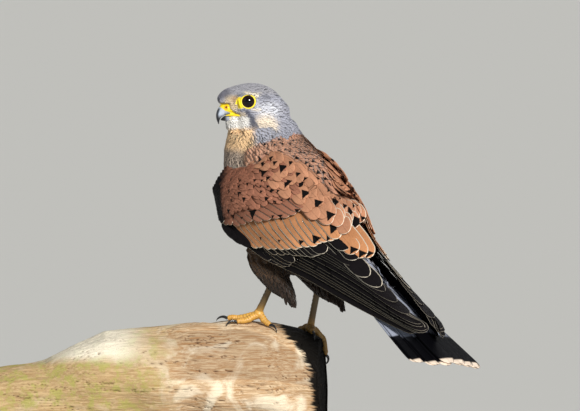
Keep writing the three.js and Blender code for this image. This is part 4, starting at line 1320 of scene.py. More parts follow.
def vanes(
    name, centre, half, normal, crown, ground, trait, seeds, bake, columns=3, patch=0.003, fade=0.0
):
    """Feathers as one piece, with what their material has to know at each place."""
    count, rows = centre.shape[:2]
    s = np.linspace(-1, 1, columns)
    arch = (1 - s * s)[None, None, :, None] * crown[:, None, None, None]
    points = centre[:, :, None] + half[:, :, None] * s[None, None, :, None]
    points = points + normal[:, :, None] * arch
    faces = vane_faces(rows, columns)
    if np.sum(np.cross(half[:, 1], centre[:, 2] - centre[:, 1]) * normal[:, 1]) < 0:
        flat = (faces[:, 2] == faces[:, 3])[:, None]
        faces = np.where(flat, faces[:, [1, 0, 2, 2]], faces[:, ::-1])
    every = (faces[None] + (np.arange(count) * rows * columns)[:, None, None]).reshape(-1, 4)
    flat = every[:, 2] == every[:, 3]
    piece = shell(name, points.reshape(-1, 3), every[~flat], every[flat][:, :3])
    along = np.broadcast_to(np.linspace(0, 1, rows)[None, :, None], (count, rows, columns))
    across = np.broadcast_to(s[None, None], along.shape)
    seed = np.broadcast_to(seeds[:, None, None], along.shape)
    steps = np.linalg.norm(np.diff(centre, axis=1), axis=-1)
    run = np.concatenate([np.zeros((count, 1)), np.cumsum(steps, axis=1)], 1)
    left = np.broadcast_to((run[:, -1:] - run)[..., None], along.shape)
    wide = np.linalg.norm(half, axis=-1)
    taper = np.gradient(wide, axis=1) / np.maximum(np.gradient(run, axis=1), 1e-6)
    rim = wide[..., None] * (1 - np.abs(across)) / np.sqrt(1 + taper**2)[..., None]
    note(piece, "place", "FLOAT_VECTOR", np.stack([left, across * wide[..., None], seed], -1))
    corners = loop_vertices(piece)
    beneath = np.tile(np.arange(len(faces)) >= (rows - 1) * (columns - 1), count)
    beneath = np.concatenate([np.repeat(beneath[~flat], 4), np.repeat(beneath[flat], 3)])
    note(piece, "rim", "FLOAT", np.where(beneath, FAR, rim.reshape(-1)[corners]), "CORNER")
    mark = np.stack([0.5 + trait[:, 0] * 1.2, 0 * seeds, 0 * seeds + fade], -1)
    note(piece, "mark", "FLOAT_VECTOR", np.broadcast_to(mark[:, None, None], (*along.shape, 3)))
    piece["corners"] = rows * columns
    if ground.ndim == 2:
        ground = np.broadcast_to(ground[:, None], (count, rows, 3))
    shown = np.broadcast_to(ground[:, :, None], (count, rows, columns, 3))
    note(piece, "ground", "FLOAT_COLOR", with_alpha(shown))
    note(piece, "trait", "FLOAT_VECTOR", np.broadcast_to(trait[:, None, None], (*along.shape, 3)))
    spread = np.stack([across * 0.5, along - 0.5], -1) * patch + bake[:, None, None]
    layer = piece.data.uv_layers.new(name="OFBake")
    layer.data.foreach_set("uv", spread.reshape(-1, 2)[corners].astype(np.float32).ravel())
    return piece


def flow_at(points):
    """The way the feathers lie: away from the bill over the head, then down the trunk."""
    t, f = on_trunk(points)
    ahead = curve(TRUNK, np.minimum(t + 0.03, 1))
    before = curve(TRUNK, np.maximum(t - 0.03, 0))
    change = ahead - before
    lie = unit(change[:, :3]) * (1 - f)[:, None] + unit(change[:, 3:6]) * f[:, None]
    local = to_head(points)
    from_bill = unit(local - BILL_TIP) + np.array([-0.35, 0, -0.12])
    over_head = unit(from_bill) @ HEAD_AXES.T
    on_head = smooth(146, 160, points[:, 2])[:, None]
    thigh = np.array([-0.35, 0.0, -1.0])
    for knee, heel in THIGHS:
        apart = np.linalg.norm(points - (np.array(knee) + np.array(heel)) / 2, axis=-1)
        near = smooth(34, 16, apart)[:, None]
        lie = blend(lie, unit(thigh), near)
    return unit(blend(lie, over_head, on_head))


def spread_roots(chosen, spacing):
    """Places all over a region of the skin, no two nearer than its spacing."""
    places = np.array([v.co[:] for v in skin.data.vertices])
    faces = np.array([list(p.vertices) for p in skin.data.polygons])
    faces = faces[chosen(bird(places[faces].mean(1)))]
    a, b, c, d = (places[faces[:, k]] for k in range(4))
    # half the product of each face's diagonals, in square millimetres
    area = np.linalg.norm(np.cross(c - a, d - b), axis=-1) * 5e5
    space = spacing(bird((a + c) / 2))
    weight = area / space**2
    count = int(weight.sum() * ROOT_TRIES)
    pick = random.choice(len(faces), count, p=weight / weight.sum())
    u, v = random.random((2, count, 1))
    roots = a[pick] * (1 - u) * (1 - v) + b[pick] * u * (1 - v)
    roots = bird(roots + c[pick] * u * v + d[pick] * (1 - u) * v)
    space = space[pick]
    tree = near_tree(roots)
    taken = np.zeros(count, bool)
    kept = []
    for i in range(count):
        if not taken[i]:
            kept.append(i)
            for near in tree.find_range(roots[i], space[i] * ROOT_GAP):
                taken[near[1]] = True
    return roots[kept]


def along_skin(roots, lie, length):
    """Each feather's line over the skin from its root, the skin's normals under it, and how many
    of its steps the skin turned away from. The thighs' lowest feathers hang free there."""
    centre = np.empty((len(roots), len(COAT_ROWS), 3))
    normal = np.empty_like(centre)
    loose = np.zeros(len(roots), int)
    for i, root in enumerate(world(roots)):
        hangs = roots[i][2] < THIGH_HEM
        place, facing, _, _ = skin_tree.find_nearest(Vector(root))
        way = Vector(lie[i])
        for r in range(len(COAT_ROWS)):
            if r:
                reach = length[i] / 1000 * (COAT_ROWS[r] - COAT_ROWS[r - 1])
                way = (way - facing * way.dot(facing)).normalized()
                ahead = place + way * reach
                place, turned, _, _ = skin_tree.find_nearest(ahead)
                away = (place - ahead).length > reach * SKIN_FALLS
                if away or (hangs and turned.dot(facing) < SKIN_TURNS):
                    place = ahead
                    loose[i] += not hangs
                else:
                    facing = turned
            centre[i, r] = place
            normal[i, r] = facing
    return bird(centre), normal, loose


def lay_coat(name, chosen, spacing, size, fringe, lift, material, clear=2.4, arch=0.06, at=3):
    """Feathers of one region: roots spread over its skin, lying back along the flow."""
    roots = spread_roots(chosen, spacing)
    length, half = size(roots)
    jitter = random.uniform(0.88, 1.14, (3, len(roots)))
    length, half = length * jitter[0], half * jitter[1]
    lie = unit(flow_at(roots) + random.normal(0, 0.07, (len(roots), 3)))
    centre, normal, loose = along_skin(roots, lie, length)
    # feathers that would stand off the skin or come through a wing are left out
    lying = ((lie * normal[:, 0]).sum(-1) < 0.6) & (loose < 2)
    if clear:
        gaps = wing_gap(centre[lying, 1:].reshape(-1, 3)).reshape(lying.sum(), -1)
        lying[lying] = gaps.min(1) > clear
    roots, centre, normal, half = roots[lying], centre[lying], normal[lying], half[lying]
    rise = (lift(roots) * jitter[2, lying])[:, None]
    centre = centre + normal * blend(SUNK_ROOT, rise, COAT_ROWS[None] ** 0.8)[..., None]
    across = unit(np.cross(normal, unit(np.gradient(centre, axis=1))))
    spread = across * (half[:, None] * COAT_SHAPE[None])[..., None]
    tone, streak = ground_at(centre[:, at])
    tone = tone * random.uniform(0.92, 1.08, (len(roots), 1))
    trait = np.stack([0 * streak, np.full(len(roots), fringe), streak], -1)
    turn = np.arctan2(roots[:, 1], roots[:, 2] - 80) / (2 * np.pi) + 0.5
    bake = 0.05 + 0.9 * np.stack([turn, on_trunk(roots)[0]], -1)
    crown = np.maximum(half * arch, 0.05)
    seeds = random.random(len(roots))
    piece = vanes(name, centre, spread, normal, crown, tone, trait, seeds, bake)
    piece.data.materials.append(material)
    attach(piece, "root")
    return piece


contour_vane = vane_material("contour feathers", INK, 0.35, 0.7, 0.25, 0.10, sheen=0.12)
face_vane = vane_material("face feathers", colour(70, 66, 70), 0.3, 0.5, 0.12, 0.08)
breast_vane = vane_material("breast feathers", colour(52, 42, 38), 0.5, 0.7, 0.2, 0.10, sheen=0.12)


def region(kind):
    """Tells which places of the skin one part of the coat covers."""

    def chosen(points):
        x, y, z = points.T
        local = to_head(points)
        f, l, u = local.T
        on_head = smooth(-17, -12, u + smooth(-4, -18, f) * 8) > 0.5
        eye_gap = np.minimum(
            np.linalg.norm((local - EYE_AT) * [0.92, 0.7, 1], axis=-1),
            np.linalg.norm((local - EYE_AT * [1, -1, 1]) * [0.92, 0.7, 1], axis=-1),
        )
        if kind == "head":
            return on_head & ~((eye_gap < 6.0) | lore_patch(f, l, u) | on_cere(f, u))
        leg = (x > -60) & (z < 50) & (np.abs(y) > 6)
        breast = (on_trunk(points)[1] > 0.52) & (z > 40)
        gap = wing_gap(points)
        if kind == "breast":
            return ~on_head & ~leg & breast & (gap > np.where(z > 104, 2.4, 4.6))
        rest = ~on_head & (x > -112) & (gap > np.where(z > 116, 3.2, 4.6))
        return rest & leg if kind == "thighs" else rest & ~leg & ~breast

    return chosen


def head_sizes(points):
    length = blend(6.0, 2.4, smooth(-14, 20, to_head(points)[:, 0]))
    return length, length * 0.27


def head_lift(points):
    """How far the head's feathers stand up: a little, more at the chin and at the nape."""
    f, _, u = to_head(points).T
    chin, nape = smooth(13, 19, f) * smooth(-7.5, -9.5, u), smooth(-8, -20, f) * smooth(8, -10, u)
    return 0.3 + 1.2 * chin + 0.9 * nape


def mantle_sizes(points):
    x, _, z = points.T
    length = blend(15.0, 6.0, smooth(112, 142, z))
    length = blend(length, 19.0, smooth(-40, -75, x) * smooth(-96, -84, x))
    return length, length * blend(0.34, 0.27, smooth(116, 138, z))


def mantle_lift(points):
    x, _, z = points.T
    return blend(0.9, 0.35, smooth(112, 130, z)) + 1.4 * smooth(118, 132, z) * smooth(10, -6, x)


def breast_sizes(points):
    length = blend(12.0, 5.0, smooth(110, 138, points[:, 2]))
    return length, length * 0.29


def thigh_sizes(points):
    high = smooth(16, 34, points[:, 2])
    return blend(5.5, 12.0, high), blend(1.2, 1.9, high)


head_coat = lay_coat(
    "coat_head",
    region("head"),
    lambda p: blend(1.5, 0.68, smooth(-12, 20, to_head(p)[:, 0])),
    head_sizes,
    0.0,
    head_lift,
    face_vane,
    clear=0,
    arch=0.07,
    at=0,
)
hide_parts("head")
mantle_coat = lay_coat(
    "coat_mantle",
    region("mantle"),
    lambda p: mantle_sizes(p)[1] * blend(1.15, 0.95, smooth(112, 130, p[:, 2])),
    mantle_sizes,
    0.2,
    mantle_lift,
    contour_vane,
    clear=1.6,
    arch=0.025,
)
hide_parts("torso")
breast_coat = lay_coat(
    "coat_breast",
    region("breast"),
    lambda p: breast_sizes(p)[1] * 0.6,
    breast_sizes,
    0.0,
    lambda p: blend(0.3, 0.12, smooth(110, 138, p[:, 2])),
    breast_vane,
    clear=1.8,
)
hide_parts("neck")
thigh_coat = lay_coat(
    "coat_thighs",
    region("thighs"),
    lambda p: blend(1.2, 1.7, smooth(16, 34, p[:, 2])),
    thigh_sizes,
    0.0,
    lambda p: np.full(len(p), 1.1),
    breast_vane,
)
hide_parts("thigh_left", "thigh_right")


# ---- Wings ----
# Tiers of vanes on each folded wing, laid from the long primaries up to the small coverts, each
# tier over the one before. Within a tier the feathers nearer the back lie over the others.
LONG, BROAD = 1.5, 0.75
FEATHER_ROWS = 1 - (1 - np.linspace(0, 1, 16)) ** 1.8
# the wing's height at the shoulder, how high its feathers lie over the back, and the columns of
# each vane
WING_HEIGHT, OVER_BACK, WING_COLUMNS = 70, 2.0, 9
WING_BROWN, COVERT_ORANGE = colour(17, 14, 16), colour(186, 130, 90)
RUFOUS_BROWN = colour(148, 100, 80)
# how far along the wing its dark leading band reaches, by the place up the wing; the band is
# partly the dark alula and coverts and partly painted shade along the wrist's edge
BAND_HEIGHT = [-0.1, 0, 0.09, 0.15, 0.25, 0.36, 0.45, 0.51, 0.68, 0.8]
BAND_REACH = [0.3, 0.21, 0.165, 0.14, 0.115, 0.095, 0.07, 0.05, 0.03, 0.0]


def tier(
    count, root, tip, low, lift, width, tilt, shape=BROAD, ground=WING_BROWN, spot=0, fringe=0.0
):
    """One tier of feathers: lines of roots and tips as shares along and up the wing, then in
    millimetres the depth of the roots, the tips' lift from first to last and the widths."""
    t = np.linspace(0, 1, count)
    build = [low + 0 * t, blend(*lift, t), blend(*width, t)]
    return curve(root, t), curve(tip, t), *build, tilt, shape, ground, spot, fringe


TIERS = {
    "primaries": tier(
        11,
        [[0.2, -0.02], [0.22, 0.2], [0.24, 0.5]],
        [[0.905, 0.06], [0.95, 0.36], [0.965, 0.5], [0.965, 0.58], [0.95, 0.68], [0.925, 0.78]]
        + [[0.86, 0.87], [0.79, 0.91], [0.75, 0.9], [0.7, 0.88], [0.64, 0.86]],
        -3.2, (-1.6, 0.6), (9, 13), 1.7, shape=LONG, fringe=0.34,
    ),
    "secondaries": tier(
        9,
        [[0.2, 0.24], [0.24, 0.5], [0.27, 0.7]],
        [[0.38, 0.17], [0.43, 0.3], [0.475, 0.4], [0.505, 0.5], [0.52, 0.62]],
        -2.8, (0.5, 1.3), (10, 12), 1.2, fringe=0.42,
    ),
    "tertials_dark": tier(
        4,
        [[0.3, 0.74], [0.3, 0.8], [0.3, 0.82], [0.3, 0.84]],
        [[0.735, 0.9], [0.695, 0.87], [0.625, 0.94], [0.56, 0.9]],
        -2.6, (0.9, 2.0), (14, 15), 1.0, fringe=0.55,
    ),
    "tertials": tier(
        3,
        [[0.3, 0.9], [0.3, 0.98], [0.3, 1.06]],
        [[0.595, 0.97], [0.635, 1.05], [0.65, 1.12]],
        -2.4, (2.2, 2.6), (14, 14), 0.9, ground=COVERT_ORANGE, spot=3.2, fringe=0.6,
    ),
    "primary_coverts": tier(
        6,
        [[0.22, 0.02], [0.25, 0.06], [0.29, 0.2]],
        [[0.36, 0.0], [0.41, 0.01], [0.44, 0.03], [0.455, 0.09], [0.455, 0.17]],
        -2.0, (0.6, 1.6), (6, 8), 0.9, shape=LONG, fringe=0.22,
    ),
    "greater_coverts": tier(
        15,
        [[0.16, 0.12], [0.2, 0.33], [0.26, 0.55], [0.29, 0.76], [0.3, 0.92]],
        [[0.275, 0.03], [0.36, 0.22], [0.44, 0.44], [0.48, 0.66], [0.488, 0.9]],
        -2.0, (1.4, 2.6), (9.5, 12), 0.9, ground=COVERT_ORANGE, fringe=0.75,
    ),
    "alula": tier(
        4,
        [[0.1, -0.02], [0.12, 0.0], [0.14, 0.03]],
        [[0.2, -0.02], [0.24, 0.0], [0.28, 0.04]],
        -1.6, (2.2, 2.8), (7, 8), 0.8, shape=LONG,
    ),
    "median_coverts": tier(
        14,
        [[0.06, 0.08], [0.12, 0.22], [0.17, 0.43], [0.2, 0.64], [0.21, 0.88]],
        [[0.15, 0.04], [0.21, 0.18], [0.265, 0.39], [0.31, 0.6], [0.325, 0.78], [0.325, 0.92]],
        -2.0, (1.6, 2.8), (9, 10.5), 0.8, ground=RUFOUS_BROWN, fringe=0.22,
    ),
}
# the line of the median coverts, over which the lesser coverts lie in close rows
MEDIAN_HEIGHT, MEDIAN_LINE = [0, 0.17, 0.39, 0.6, 0.78, 1], [0.12, 0.17, 0.222, 0.265, 0.285, 0.285]
LESSER_ROWS, LESSER_COUNT = 17, 18
# each row of scapulars: its place up the wing and over the back, width, first and last tip
SCAPULAR_ROWS = (
    (0.8, 10.0, 0.2, 0.3),
    (0.87, 11.5, 0.12, 0.38),
    (0.94, 13.0, 0.1, 0.44),
    (1.01, 13.5, 0.13, 0.48),
    (1.07, 13.0, 0.17, 0.48),
    (1.13, 12.5, 0.2, 0.47),
    (1.19, 12.5, 0.26, 0.46),
    (1.25, 12.5, 0.32, 0.45),
)


def wing_place(a, b, side):
    """The wing's surface and its normals, led on from its upper edge over the back above b = 1."""
    held = np.clip(a, 0, 1)
    at = wing_point(held, np.clip(b, -0.2, 1), side)
    normal = wing_normal(np.clip(a, 0, 0.985), np.clip(b, 0.02, 0.98), side)
    over = unit(wing_point(held, 1, side) - wing_point(held, 0.93, side))
    over = unit(over + [0, -0.5 * side, -0.2])
    ahead = at + over * (np.maximum(b - 1, 0) * WING_HEIGHT)[..., None]
    for k in zip(*np.nonzero(b > 1)):
        near, facing, _, _ = skin_tree.find_nearest(Vector(world(ahead[k])))
        facing = np.array(facing)
        share = min(1.0, (b[k] - 1) * 14) * smooth(0.36, 0.26, a[k])
        at[k] = blend(ahead[k], bird(near) + facing * OVER_BACK, share)
        normal[k] = unit(blend(normal[k], facing, share))
    return at, normal


def wing_feathers(side, root, tip, low, lift, width, tilt, point):
    """Centre lines, half widths and normals of feathers from root to tip places on one wing."""
    k = FEATHER_ROWS[None]
    along, above = blend(root[:, :1], tip[:, :1], k), blend(root[:, 1:], tip[:, 1:], k)
    at, normal = wing_place(along, above, side)
    ahead = unit(np.gradient(at, axis=1))
    up = unit(np.cross(normal, ahead)) * side
    rise = blend(low[:, None], lift[:, None], k**0.8)
    length = np.linalg.norm(np.diff(at, axis=1), axis=-1).sum(1)
    left = np.clip((1 - k) * length[:, None] / (width[:, None] * point), 0, 1)
    spread = np.sqrt(np.clip(1 - (1 - left) ** 2, 0.012, 1)) * np.interp(k, [0, 0.3], [0.5, 1])
    half = (width / 2)[:, None] * spread
    tuck = (tilt * np.minimum(k * 3, 1) * spread)[..., None]
    return at + normal * rise[..., None], up * half[..., None] - normal * tuck, normal


def wing_rows():
    """Roots, tips and builds of every feather of one wing, row by row, as equal arrays."""
    rows = []
    for label, (root, tip, *build) in TIERS.items():
        tip = tip + random.normal(0, 0.003, (len(tip), 2)) * [1.0, 0.6]
        rows.append((label, root, tip, *build))
    for r in range(LESSER_ROWS):
        b = (np.arange(LESSER_COUNT) + (r % 2) * 0.5) / LESSER_COUNT
        line = np.interp(b, MEDIAN_HEIGHT, MEDIAN_LINE)
        tip = np.stack([line * (r + 0.6) / LESSER_ROWS, b - 0.01], -1)
        tip = tip + random.normal(0, 1, (LESSER_COUNT, 2)) * [0.004, 0.011]
        root = tip - [0.045, -0.012]
        rise = blend(0.3, 2.6, np.clip(tip[:, 0] / 0.25, 0, 1))
        width = random.uniform(6.2, 7.4, LESSER_COUNT)
        build = (rise - 2.0, rise, width, 0.3, BROAD, RUFOUS_BROWN, 0, 0.0)
        rows.append(("lesser", root, tip, *build))
    # scapulars: rounded feathers in staggered rows over the wing's upper edge and the back
    tone = blend(CHESTNUT, COVERT_ORANGE, 0.3)
    for r, (b, width, first, last) in enumerate(SCAPULAR_ROWS):
        n = max(3, round((last - first) / 0.036))
        t = (np.arange(n) + (r % 2) * 0.5) / (n - 0.5)
        a = blend(first, last, t)
        tip = np.stack([a, b - 0.01 + 0.02 * t], -1) + random.normal(0, 0.005, (n, 2)) * [1, 1.6]
        root = tip - np.stack([blend(0.055, 0.085, t), -0.01 + 0 * t], -1)
        rise = blend(2.3, 3.6, t) - max(0, b - 1) * 7
        width, fringe = width * blend(0.58, 1.1, t), 0.5 * smooth(0.36, 0.45, a)
        rows.append(("scapulars", root, tip, rise - 3.0, rise, width, 0.35, BROAD, tone, 0, fringe))
    return rows


def lay_wing(side, name, rows):
    """All feathers of one folded wing as one piece."""
    parts = []
    for label, root, tip, low, lift, width, tilt, shape, ground, spot, fringe in rows:
        n = len(root)
        laid_out = wing_feathers(side, root, tip, low, lift, width, tilt, shape)
        mottle = 0.2 if label == "lesser" else 0.08
        tone = np.tile(ground, (n, 1)) * random.uniform(1 - mottle, 1 + mottle, (n, 1))
        # the dark leading band: in part dark feathers, in part painted shade along the wrist's edge
        edge = np.interp(tip[:, 1], BAND_HEIGHT, BAND_REACH)
        tone = blend(WING_BROWN, tone, smooth(-0.02, 0.025, tip[:, 0] - edge)[:, None])
        # painted shade: each feather darkens towards its covered root and lightens towards its open
        # tip
        root_painted_shade = 0.9 if label in ("lesser", "scapulars") else 0.76
        shade = blend(root_painted_shade, 1.1, smooth(0.4, 1.0, FEATHER_ROWS))
        trait = np.stack([np.zeros(n) + spot, np.zeros(n) + fringe, np.zeros(n)], -1)
        faded = np.full(n, 0.6 if label == "primaries" else 0.0)
        tone = tone[:, None] * shade[None, :, None]
        parts.append((*laid_out, width * 0.03, tone, trait, root, faded))
    *build, root, faded = (np.concatenate(part) for part in zip(*parts))
    bake = 0.03 + 0.94 * np.clip(root, 0, 1)
    seeds = random.random(len(root))
    piece = vanes("feathers_wing_" + name, *build, seeds, bake, WING_COLUMNS, fade=faded)
    piece.data.materials.append(wing_vane)
    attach(piece, "root")
    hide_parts("wing_" + name)
    return piece


# The dark spots of the mantle, scapulars and coverts, as seen from the bird's left and a little
# behind: right and up from the log's top in millimetres, and half the spot's width.
SPOTS = np.array(
    [
        -39.8, 109.7, 1.1, -32.9, 108.8, 1.1, -27.5, 106.3, 1.1, -21.7, 108.8, 1.1,
        -16.3, 108.8, 1.1, -46.7, 102.9, 1.1, -41.3, 100.9, 1.65, -33.9, 104.3, 1.1,
        -29.0, 101.9, 1.1, -22.1, 104.3, 1.1, -17.2, 104.3, 1.1, -11.8, 104.3, 1.1,
        -16.8, 100.4, 1.1, -8.9, 100.9, 1.65, -4.0, 100.7, 1.1, -33.9, 98.9, 1.65,
        -30.0, 94.5, 1.65, -39.8, 93.6, 1.1, -12.8, 95.0, 1.65, -6.0, 92.1, 1.1, -1.1, 93.6, 1.1,
        3.9, 95.0, 1.1, -41.8, 85.2, 1.65, -38.3, 81.3, 1.65, -32.9, 78.3, 2.8, -23.6, 83.7, 2.8,
        -18.7, 81.3, 1.65, -12.3, 80.3, 2.8, -7.9, 81.3, 1.1, -2.5, 81.3, 1.65, 3.9, 83.2, 1.65,
        10.7, 85.7, 1.65, -17.7, 124.9, 1.65, -15.8, 122.0, 1.65, -9.4, 125.9, 1.65,
        -6.4, 122.5, 1.65, -14.8, 115.6, 2.8, -11.8, 110.7, 1.65, -0.6, 118.6, 2.8,
        5.8, 122.5, 1.65, 10.7, 126.4, 1.65, 5.8, 115.1, 1.1, 11.2, 113.7, 1.65, 2.9, 107.3, 2.8,
        14.2, 105.8, 2.8, 16.6, 98.9, 2.8, 18.1, 122.5, 1.65, 19.6, 130.8, 1.65,
        23.5, 124.0, 1.65, 27.9, 127.9, 1.65, 30.8, 124.0, 1.65, 30.8, 120.5, 1.65,
        19.6, 117.1, 1.1, 31.3, 115.1, 1.65, 31.8, 110.2, 1.65, 36.2, 105.8, 1.65,
        35.3, 101.4, 1.65, 37.7, 116.6, 1.65, 39.2, 111.2, 1.65, 46.0, 111.7, 1.65,
        50.5, 104.3, 1.65, 44.1, 97.5, 1.65, 54.9, 97.5, 1.65, 26.4, 91.6, 2.8, 39.7, 92.6, 2.8,
        54.4, 90.1, 1.65, 60.8, 90.1, 1.65, 51.9, 85.7, 2.8, 35.7, 82.3, 2.8, 54.9, 77.4, 4.6,
        63.7, 80.3, 1.65, 63.7, 72.9, 2.8, 38.2, 72.0, 2.8, 35.3, 66.6, 2.8, 24.9, 64.1, 2.8,
        13.7, 61.7, 1.65, -3.0, 62.6, 1.1, -17.2, 64.6, 1.1, 11.4, 144.7, 1.1, 17.8, 141.9, 1.1,
        -1.7, 145.4, 1.1, 3.8, 141.9, 1.1, 8.2, 139.6, 1.1, 5.7, 137.1, 1.1, 9.5, 134.5, 1.1,
        -6.1, 136.1, 1.1, 1.9, 132.6, 1.1, 13.7, 131.0, 1.1, 21.6, 135.5, 1.1, 23.9, 132.0, 1.1,
        19.7, 130.4, 1.1, 28.0, 127.8, 1.1, -14.1, 136.8, 1.1, 11.1, 126.9, 1.1,
        -0.1, 137.1, 1.1,
    ]
).reshape(-1, 3)
SPOT_GROWTH, SPOT_REACH = 1.2, 0.004


def mark_spots(pieces):
    """Gives each listed spot, on both sides, to the feathers that lie outermost where it falls."""
    trees = [tree_of(piece) for piece in pieces]
    marked = set()

    def outermost(start, way):
        hits = [tree.ray_cast(Vector(world(start)), Vector(way)) for tree in trees]
        near = min(range(len(hits)), key=lambda i: hits[i][3] if hits[i][0] else 9)
        return near, *hits[near]

    def mark(near, face, middle, size):
        """Writes the spot in the feather's own frame, found from the corners of the face it hit."""
        piece = pieces[near]
        mesh, quill = piece.data, piece["corners"]
        corners = list(mesh.polygons[face].vertices)
        first = corners[0] // quill * quill
        if (near, first) in marked:
            return
        marked.add((near, first))
        spots = np.array([mesh.vertices[v].co[:] for v in corners])
        around = np.array([mesh.attributes["place"].data[v].vector[:2] for v in corners])
        core, held = spots.mean(0), around.mean(0)
        slope = np.linalg.lstsq((spots - core) * 1000, around - held, rcond=0.05)[0]
        left, across = held + (np.array(middle) - core) * 1000 @ slope
        for v in range(first, first + quill):
            trait = mesh.attributes["trait"].data[v].vector
            if mesh.attributes["ground"].data[v].color[0] > 0.08:
                mesh.attributes["trait"].data[v].vector = (size, trait[1], trait[2])
            fade = mesh.attributes["mark"].data[v].vector[2]
            mesh.attributes["mark"].data[v].vector = (left, across, fade)

    for around in (((0, 0),), ((-0.8, 0), (0.8, 0), (0, -0.7), (0, 0.7))):
        for mirror in (1, -1):
            flip = np.array([1, mirror, 1])
            for right, up, size in SPOTS:
                size = size * SPOT_GROWTH
                start = (rightward * right + upward * up + to_eye * 300) * flip
                _, middle, facing, _, _ = outermost(start, -to_eye * flip)
                if not middle or facing.dot(Vector(to_eye * flip)) < 0.05:
                    continue
                for aside, above in around:
                    shift = (rightward * aside + upward * above) * size * flip
                    near, place, facing, face, _ = outermost(start + shift, -to_eye * flip)
                    if place and (place - middle).length < SPOT_REACH:
                        mark(near, face, middle, size)


wing_vane = vane_material("wing feathers", INK, 0.9, 0.9, 0.3, 0.15, relief=0.00012, sheen=0.0)
both_rows = wing_rows()
wings = [lay_wing(side, name, both_rows) for side, name in SIDES]
mark_spots([*wings, mantle_coat])


# ---- Tail ----
# Twelve long feathers, the middle pair on top, blue-grey with a broad black band before the white
# tips. The last feathers of the body coat close their roots above and below.
TAIL_ROOT, TAIL_TIP = np.array([-97.0, 52.0]), np.array([-197.0, -20.0])
TAIL_ROWS = np.concatenate(
    [
        np.linspace(0, 0.64, 7),
        [0.68, 0.695, 0.71],
        np.linspace(0.75, 0.93, 5),
        np.linspace(0.94, 1, 9),
    ]
)
TAIL_SPREAD_LEFT, TAIL_SPREAD_RIGHT, TAIL_FEATHER, TAIL_COLUMNS = 31, 25, 15.0, 9
# places along a tail feather and its width there, in shares of its broadest
TAIL_ALONG, TAIL_WIDTH = [0, 0.3, 0.7, 0.92, 0.96, 0.985, 1], [0.5, 0.85, 1, 1, 0.9, 0.66, 0.2]
TAIL_SHAPE = np.interp(TAIL_ROWS, TAIL_ALONG, TAIL_WIDTH)
BAND_BLACK, TIP_CREAM = colour(1, 1, 4), colour(226, 208, 190)


def tail_feathers(out, layer, length):
    """Feathers of the fan, each by its place across it from -1 to 1 and its layer from the top."""
    out = out[:, None]
    run, fall = TAIL_ROOT - TAIL_TIP
    t = length[:, None] * TAIL_ROWS[None]
    x = blend(TAIL_ROOT[0] + 6, TAIL_TIP[0], t)
    z = blend(TAIL_ROOT[1] - 3, TAIL_TIP[1], t) - layer[:, None] * 0.95 - out * out * t
    spread = np.where(out > 0, TAIL_SPREAD_LEFT, TAIL_SPREAD_RIGHT)
    y = out * blend(12, spread, np.clip(t, 0, 1) ** 0.75) - 6.5 * t
    lean = np.where(out < 0, -1, 1) * (0.08 * np.abs(out))
    flat = 0 * x
    normal = unit(np.stack([flat - fall, lean * run + flat, flat + run], -1))
    wide = TAIL_FEATHER / 2 * TAIL_SHAPE[None] + flat
    return np.stack([x, y, z], -1), np.stack([flat, wide, -lean * wide], -1), normal


order = [(side, k) for k in range(6) for side in (-1, 1)]
out = np.array([side * (k // 2 * 2 + 1 + k % 2 * 0.4) / 6 for side, k in order])
layer = np.array([k + 1 if k else (1 if side < 0 else 0) for side, k in order], float)
length = 1 - np.where(out > 0, 0.14, 0.02) * out**2
fan = tail_feathers(out, layer, length)
k = TAIL_ROWS[None, :, None]
ragged = random.normal(0, 0.008, (12, 1, 1))
band = smooth(0.69, 0.705, k + ragged)
ground = blend(TAIL_GREY, BAND_BLACK, band)
ground = blend(ground, TIP_CREAM, smooth(0.955, 0.964, k + ragged * 0.5))
ground = np.broadcast_to(ground, (12, len(TAIL_ROWS), 3))
seeds = random.random(12)
bake = np.stack([0.1 + 0.8 * (out + 1) / 2, np.full(12, 0.5)], -1)
tail_vane = vane_material("tail feathers", INK, 1.0, 0.9, 0.3, 0.08, relief=0.00008, sheen=0.0)
build = (*fan, np.full(12, 0.5), ground, np.zeros((12, 3)), seeds, bake)
rectrices = vanes("feathers_tail", *build, TAIL_COLUMNS, patch=0.06)
rectrices.data.materials.append(tail_vane)
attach(rectrices, "root")
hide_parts("tail")


# ---- Log ----
# The dead limb it stands on, bare of bark: pale fibrous wood with long checks, a ledge where a
# strip has torn off, grey-green lichen, and a splintered break under the bird's breast. The
# break's face and the log's side before it carry a painted shadow in near black, for the shade
# of the break and the shadow of the bird.
BRANCH_FLOOR = -80.0
BRANCH_COLUMNS, BRANCH_ROWS, BREAK_ROWS, CUT_ROWS = 300, 220, 59, 24
BRANCH_NEAR, BRANCH_FAR = -44.0, 219.0
DRY_TAN, DRY_PALE, FIBRE_BROWN = colour(176, 138, 98), colour(214, 190, 156), colour(150, 106, 70)
WASHED, OLD_BROWN, OLD_PALE = colour(240, 228, 204), colour(120, 96, 62), colour(206, 178, 130)
LICHEN_GREEN, BLEACHED = colour(160, 158, 84), colour(236, 230, 212)
CHECK_BROWN, CRACK_BROWN = colour(110, 72, 44), colour(84, 58, 40)
# painted shadow on the break and where the bird's shadow falls on the log
BREAK_SHADOW_BLACK, BREAK_SHADOW_BROWN = colour(2, 2, 2), colour(22, 18, 13)
angle = np.arange(BRANCH_COLUMNS) / BRANCH_COLUMNS * 2 * np.pi


def log_section(at):
    """A ring of the log in its own frame at each place along it."""
    top, half, deep = (np.interp(at, BRANCH[:, 0], BRANCH[:, k]) for k in (1, 2, 3))
    rough = 1 + (1.8 / half) * np.sin(angle * 3 + at * 0.05) * np.cos(angle * 5 - at * 0.09)
    y = np.cos(angle) * half * rough
    z = top - deep + np.sin(angle) * deep * np.where((rough > 1) & (angle < 3), 1, rough)
    return y, z


